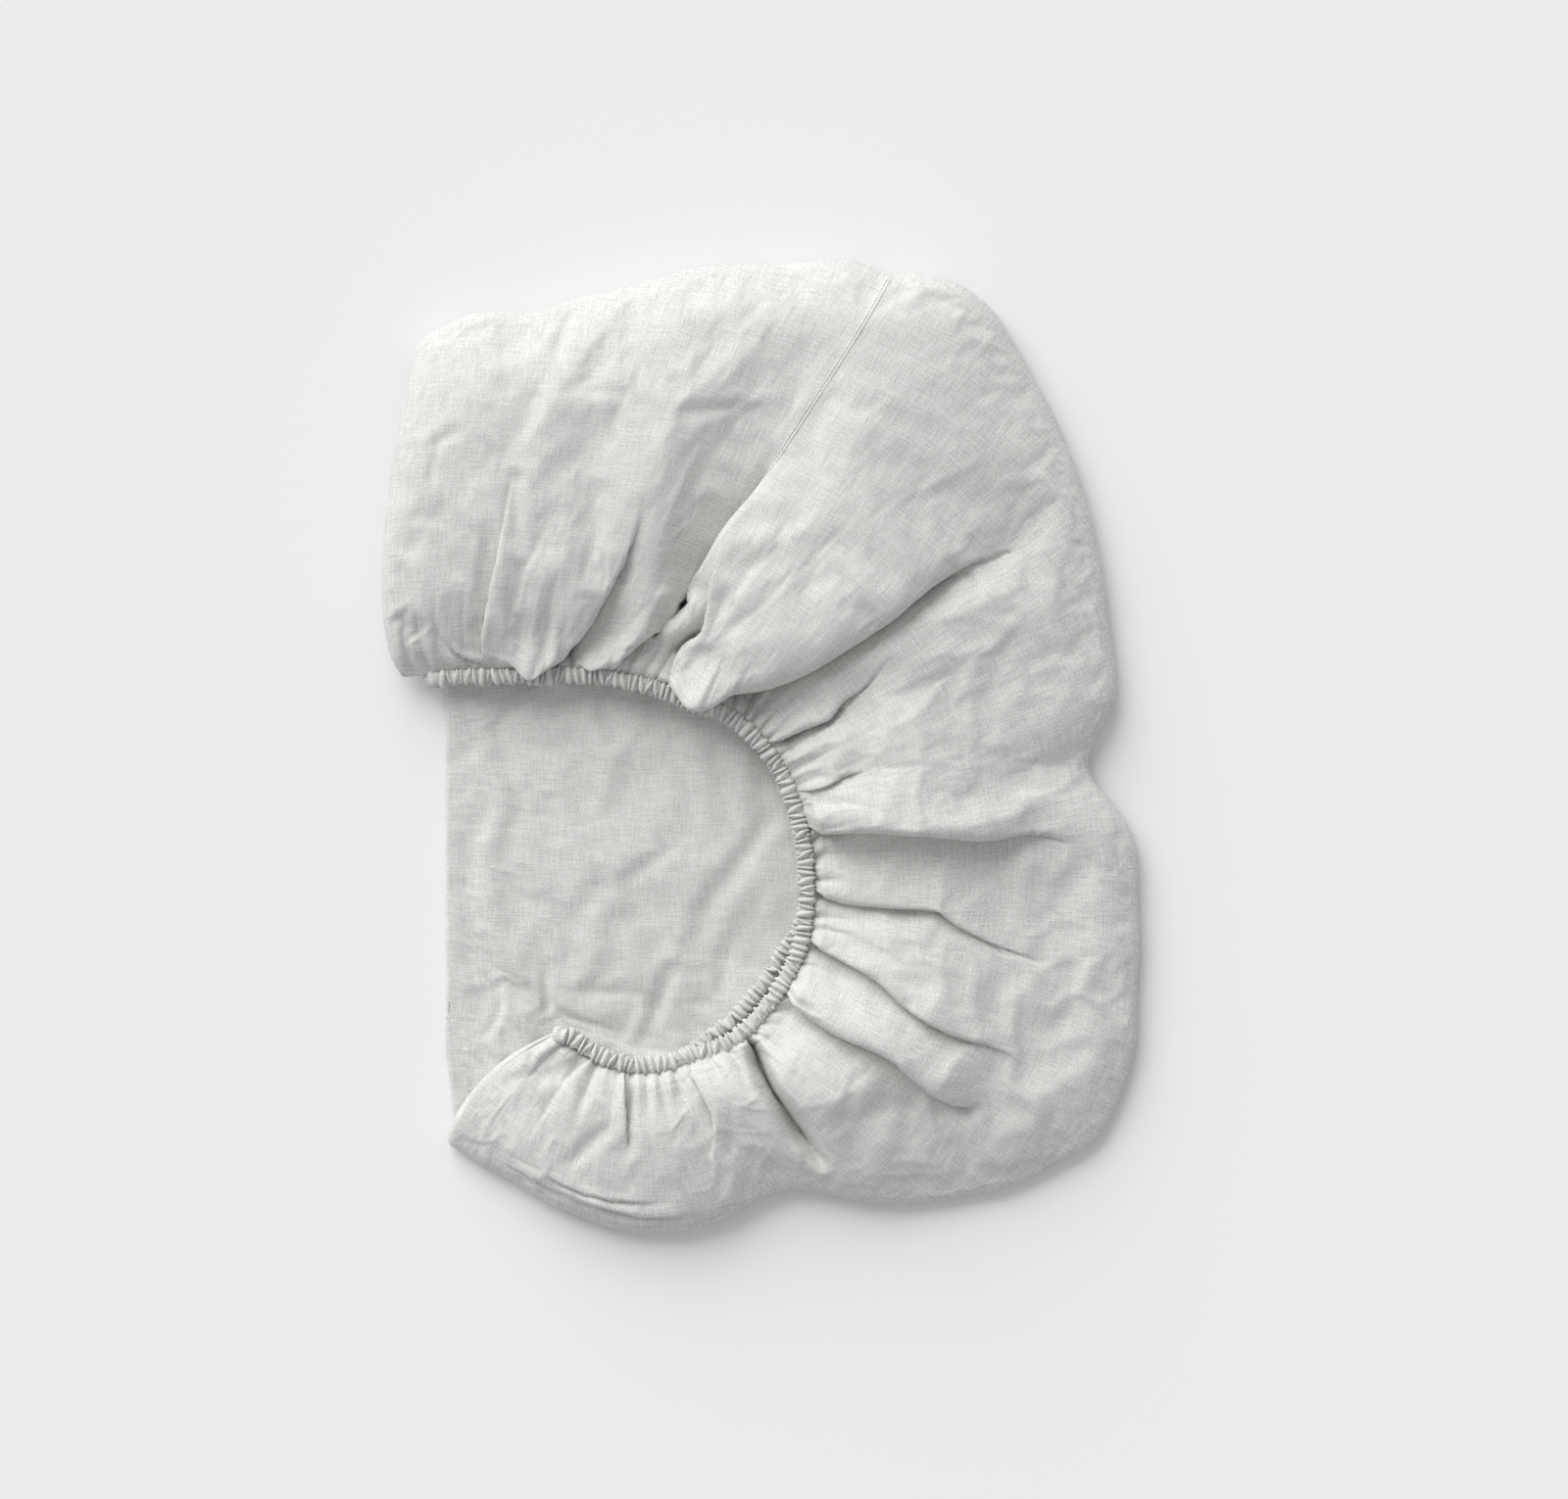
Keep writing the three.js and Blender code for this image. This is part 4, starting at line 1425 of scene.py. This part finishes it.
@dataclass
class CornerSeam:
    """The sewn corner of the pocket: a flat felled seam with two rows of stitches."""

    sheet: ClothSheet
    line: Line = (
        (5.65, 0.045), (5.75, 0.15), (6.05, 0.25), (6.4, 0.4),
        (6.7, 0.52), (6.88, 0.68), (7.0, 0.84), (7.0, 0.985),
    )
    section: Line = (
        (-1.9, -0.4), (-1.5, 0.14), (-0.5, 0.18), (-0.05, -0.3), (0.3, 0.24), (1.5, 0.18), (1.9, -0.4),
    )
    stitch_rows: tuple[float, float] = (-1.0, 1.0)
    stitch_pitch: float = 2.8
    stitch_length: float = 1.9
    stitch_lift: float = 0.18
    steps: int = 40

    def beside_line(self, offset: float, lift: float) -> tuple[Array, Array]:
        """Follows the seam at a distance.

        Args:
            offset: Distance to the side, on the cloth.
            lift: Height over the cloth.

        Returns:
            Points beside the seam, and the cloth's normals there.
        """
        route = smooth_line(self.line, self.steps)
        step = self.sheet.surface(route[:, 0], route[:, 1])[2]
        place = route[:, 0] + offset / np.linalg.norm(step, axis=1)
        points, normals, _ = self.sheet.surface(place, route[:, 1])
        return points + normals * lift, normals

    def build(self) -> list[bpy.types.Object]:
        """Makes the seam.

        Returns:
            The felled strip and its stitches.
        """
        strands = np.stack([self.beside_line(*corner)[0] for corner in self.section], axis=1)
        count, width = strands.shape[:2]
        index = np.arange(count * width).reshape(count, width)
        index = np.hstack([index, index[:, :1]])
        faces = [tuple(face) for face in ClothSheet.grid(index).tolist()]
        faces += [tuple(index[0, :-1].tolist()), tuple(index[-1, -2::-1].tolist())]
        flat = strands.reshape(-1, 3)
        strip = MeshKit("corner_seam").build(flat, faces, flat[:, 0:2] * MM)
        thread = Stitches(length=self.stitch_length)
        stitches = []
        for offset in self.stitch_rows:
            stitches += thread.row(*self.beside_line(offset, self.stitch_lift), self.stitch_pitch)
        return [strip, thread.build("seam_stitches", stitches)]


class Value:
    """A socket's value in shader maths."""

    def __init__(self, shader: "Shader", socket: bpy.types.NodeSocket) -> None:
        """Wraps a socket of a shader's node."""
        self.shader = shader
        self.socket = socket

    def maths(self, operation: str, first: object, second: object) -> "Value":
        """Adds a Math node and returns its value."""
        return self.shader.node("ShaderNodeMath", {"operation": operation}, {0: first, 1: second})[0]

    def __add__(self, other: object) -> "Value":
        """Returns self + other."""
        return self.maths("ADD", self, other)

    __radd__ = __add__

    def __sub__(self, other: object) -> "Value":
        """Returns self - other."""
        return self.maths("SUBTRACT", self, other)

    def __rsub__(self, other: object) -> "Value":
        """Returns other - self."""
        return self.maths("SUBTRACT", other, self)

    def __mul__(self, other: object) -> "Value":
        """Returns self * other."""
        return self.maths("MULTIPLY", self, other)

    __rmul__ = __mul__


class Shader:
    """A material's nodes."""

    def __init__(self, name: str) -> None:
        """Starts a material with one Principled shader.

        Args:
            name: The material's name.
        """
        self.material = bpy.data.materials.new(name)
        self.material.use_nodes = True
        self.tree = self.material.node_tree
        self.surface = next(n for n in self.tree.nodes if n.type == "BSDF_PRINCIPLED")

    def node(self, kind: str, settings: dict[str, object], inputs: dict[int | str, object]) -> list[Value]:
        """Adds a node.

        Args:
            kind: The node's type.
            settings: Its own settings, set before its sockets.
            inputs: Numbers, vectors or links of its sockets.

        Returns:
            The values of its outputs.
        """
        node = self.tree.nodes.new(kind)
        for key, setting in settings.items():
            setattr(node, key, setting)
        for key, given in inputs.items():
            self.feed(node.inputs[key], given)
        return [Value(self, output) for output in node.outputs]

    def feed(self, socket: bpy.types.NodeSocket, given: object) -> None:
        """Sets a socket to a number or vector, or links a value to it.

        Args:
            socket: The socket.
            given: A number, vector or value.
        """
        if isinstance(given, Value):
            self.tree.links.new(given.socket, socket)
        else:
            socket.default_value = given

    def dress(self, inputs: dict[str, object]) -> bpy.types.Material:
        """Sets sockets of the Principled shader.

        Args:
            inputs: Numbers, colours or values by socket name.

        Returns:
            The material.
        """
        for key, given in inputs.items():
            self.feed(self.surface.inputs[key], given)
        return self.material


@dataclass(frozen=True)
class LinenFinish:
    """Washed plain-weave linen, matt, with slubs along both threads."""

    colour: tuple[float, float, float] = (0.63, 0.63, 0.615)
    slub_length: float = 15
    slub_width: float = 0.8
    slub_contrast: float = 0.75
    grain_size: float = 1.0
    grain_contrast: float = 0.6
    mottle_size: float = 16
    mottle_contrast: float = 0.12
    relief: float = 0.0004
    relief_strength: float = 0.6
    roughness: float = 0.84
    roughness_spread: float = 0.1
    sheen: float = 0.12
    sheen_roughness: float = 0.5
    specular: float = 0.2

    def material(self) -> bpy.types.Material:
        """Makes the material.

        Returns:
            The linen material.
        """
        shader = Shader("washed_linen")
        cloth = shader.node("ShaderNodeTexCoord", {}, {})[2]
        warp = self.threads(shader, cloth, (1 / self.slub_width, 1 / self.slub_length, 1.0))
        weft = self.threads(shader, cloth, (1 / self.slub_length, 1 / self.slub_width, 1.0))
        mottle = self.threads(shader, cloth, (1 / self.mottle_size, 1 / self.mottle_size, 1.0))
        grain = self.threads(shader, cloth, (1 / self.grain_size, 1 / self.grain_size, 1.0))
        weave = 0.5 * (warp + weft)
        shade = 1 + self.slub_contrast * (weave - 0.5) + self.mottle_contrast * (mottle - 0.5)
        shade = shade + self.grain_contrast * (grain - 0.5)
        grey = shader.node(
            "ShaderNodeMix",
            {"data_type": "RGBA", "blend_type": "MULTIPLY"},
            {0: 1.0, 6: (*self.colour, 1.0), 7: shade},
        )[2]
        bump = shader.node(
            "ShaderNodeBump",
            {},
            {"Strength": self.relief_strength, "Distance": self.relief, "Height": weave},
        )[0]
        return shader.dress({
            "Base Color": grey,
            "Roughness": self.roughness + self.roughness_spread * weave,
            "Normal": bump,
            "Sheen Weight": self.sheen,
            "Sheen Roughness": self.sheen_roughness,
            "Specular IOR Level": self.specular,
        })

    @staticmethod
    def threads(shader: Shader, cloth: Value, scale: tuple[float, float, float]) -> Value:
        """Returns noise over the cloth, drawn out along the threads.

        Args:
            shader: The material's nodes.
            cloth: The cloth's coordinates in metres.
            scale: Noise cells for each millimetre along each axis.

        Returns:
            Noise of about 0 to 1.
        """
        stretched = shader.node(
            "ShaderNodeVectorMath",
            {"operation": "MULTIPLY"},
            {0: cloth, 1: tuple(part / MM for part in scale)},
        )[0]
        return shader.node(
            "ShaderNodeTexNoise",
            {"noise_dimensions": "2D"},
            {"Vector": stretched, "Scale": 1.0, "Detail": 2.0, "Roughness": 0.6},
        )[0]


@dataclass
class FittedSheet:
    """The whole sheet: cloth, casing, corner seam and stitches."""

    form: SheetForm = field(default_factory=SheetForm)
    finish: LinenFinish = field(default_factory=LinenFinish)
    flat_size: tuple[float, float] = (0.95, 1.0)

    def build(self) -> list[bpy.types.Object]:
        """Makes, dresses and places the pieces.

        Returns:
            The pieces, the cloth first.
        """
        linen = self.finish.material()
        sheet = ClothSheet(self.form)
        cloth = sheet.build()
        casing = Casing(self.form).build()
        pieces = [cloth, casing, *CornerSeam(sheet).build()]
        for piece in pieces:
            piece.data.materials.append(linen)
            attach(piece, "root")
            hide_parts(NODE)
        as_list(pieces[1:])
        return pieces


@dataclass
class Studio:
    """A pale floor, soft light from the upper left and a camera that looks straight down."""

    floor_size: float = 6.0
    floor_grey: float = 0.86
    floor_roughness: float = 0.9
    floor_specular: float = 0.1
    image_size: tuple[int, int] = (1600, 1530)
    pixel: float = 0.6
    view_centre: tuple[float, float] = (15.9, -1.5)
    camera_height: float = 5.0
    key_from: tuple[float, float, float] = (-0.64, 1.1, 0.72)
    key_spread: float = 55.0
    key_strength: float = 3.05
    fill_strength: float = 0.5

    def build(self) -> None:
        """Sets the floor, the lights and the camera."""
        self.lay_floor()
        self.light()
        self.aim_camera()

    def lay_floor(self) -> None:
        """Lays a plain floor under the sheet."""
        half = self.floor_size / 2 / MM
        corners = np.array([(-half, -half, 0), (half, -half, 0), (half, half, 0), (-half, half, 0)], float)
        floor = MeshKit("floor").build(corners, [(0, 1, 2, 3)])
        shader = Shader("pale_floor")
        floor.data.materials.append(shader.dress({
            "Base Color": (self.floor_grey, self.floor_grey, self.floor_grey, 1.0),
            "Roughness": self.floor_roughness,
            "Specular IOR Level": self.floor_specular,
        }))

    def light(self) -> None:
        """Sets a wide, far lamp at the upper left and fills the rest evenly."""
        lamp = bpy.data.lights.new("soft_key", "SUN")
        lamp.angle = math.radians(self.key_spread)
        lamp.energy = self.key_strength
        key = bpy.data.objects.new("soft_key", lamp)
        key.location = self.key_from
        key.rotation_euler = (-Vector(self.key_from)).to_track_quat("-Z", "Y").to_euler()
        bpy.context.scene.collection.objects.link(key)
        world = bpy.data.worlds.new("soft_fill")
        world.use_nodes = True
        sky = world.node_tree.nodes["Background"]
        sky.inputs["Color"].default_value = (1.0, 1.0, 1.0, 1.0)
        sky.inputs["Strength"].default_value = self.fill_strength
        bpy.context.scene.world = world
        bpy.context.scene.view_settings.view_transform = "Standard"

    def aim_camera(self) -> None:
        """Sets the camera straight above the sheet, framed as the photograph is."""
        lens = bpy.data.cameras.new("overhead")
        lens.sensor_fit = "HORIZONTAL"
        field_width = self.image_size[0] * self.pixel * MM
        lens.angle = 2 * math.atan(field_width / 2 / self.camera_height)
        camera = bpy.data.objects.new("overhead", lens)
        camera.location = (self.view_centre[0] * MM, self.view_centre[1] * MM, self.camera_height)
        bpy.context.scene.collection.objects.link(camera)
        bpy.context.scene.camera = camera


def main() -> None:
    """Builds the sheet and the studio, and reports each piece."""
    logging.basicConfig(level=logging.INFO)
    for piece in FittedSheet().build():
        log.info("%s: %d faces", piece.name, len(piece.data.polygons))
    Studio().build()


if __name__ == "__main__":
    main()
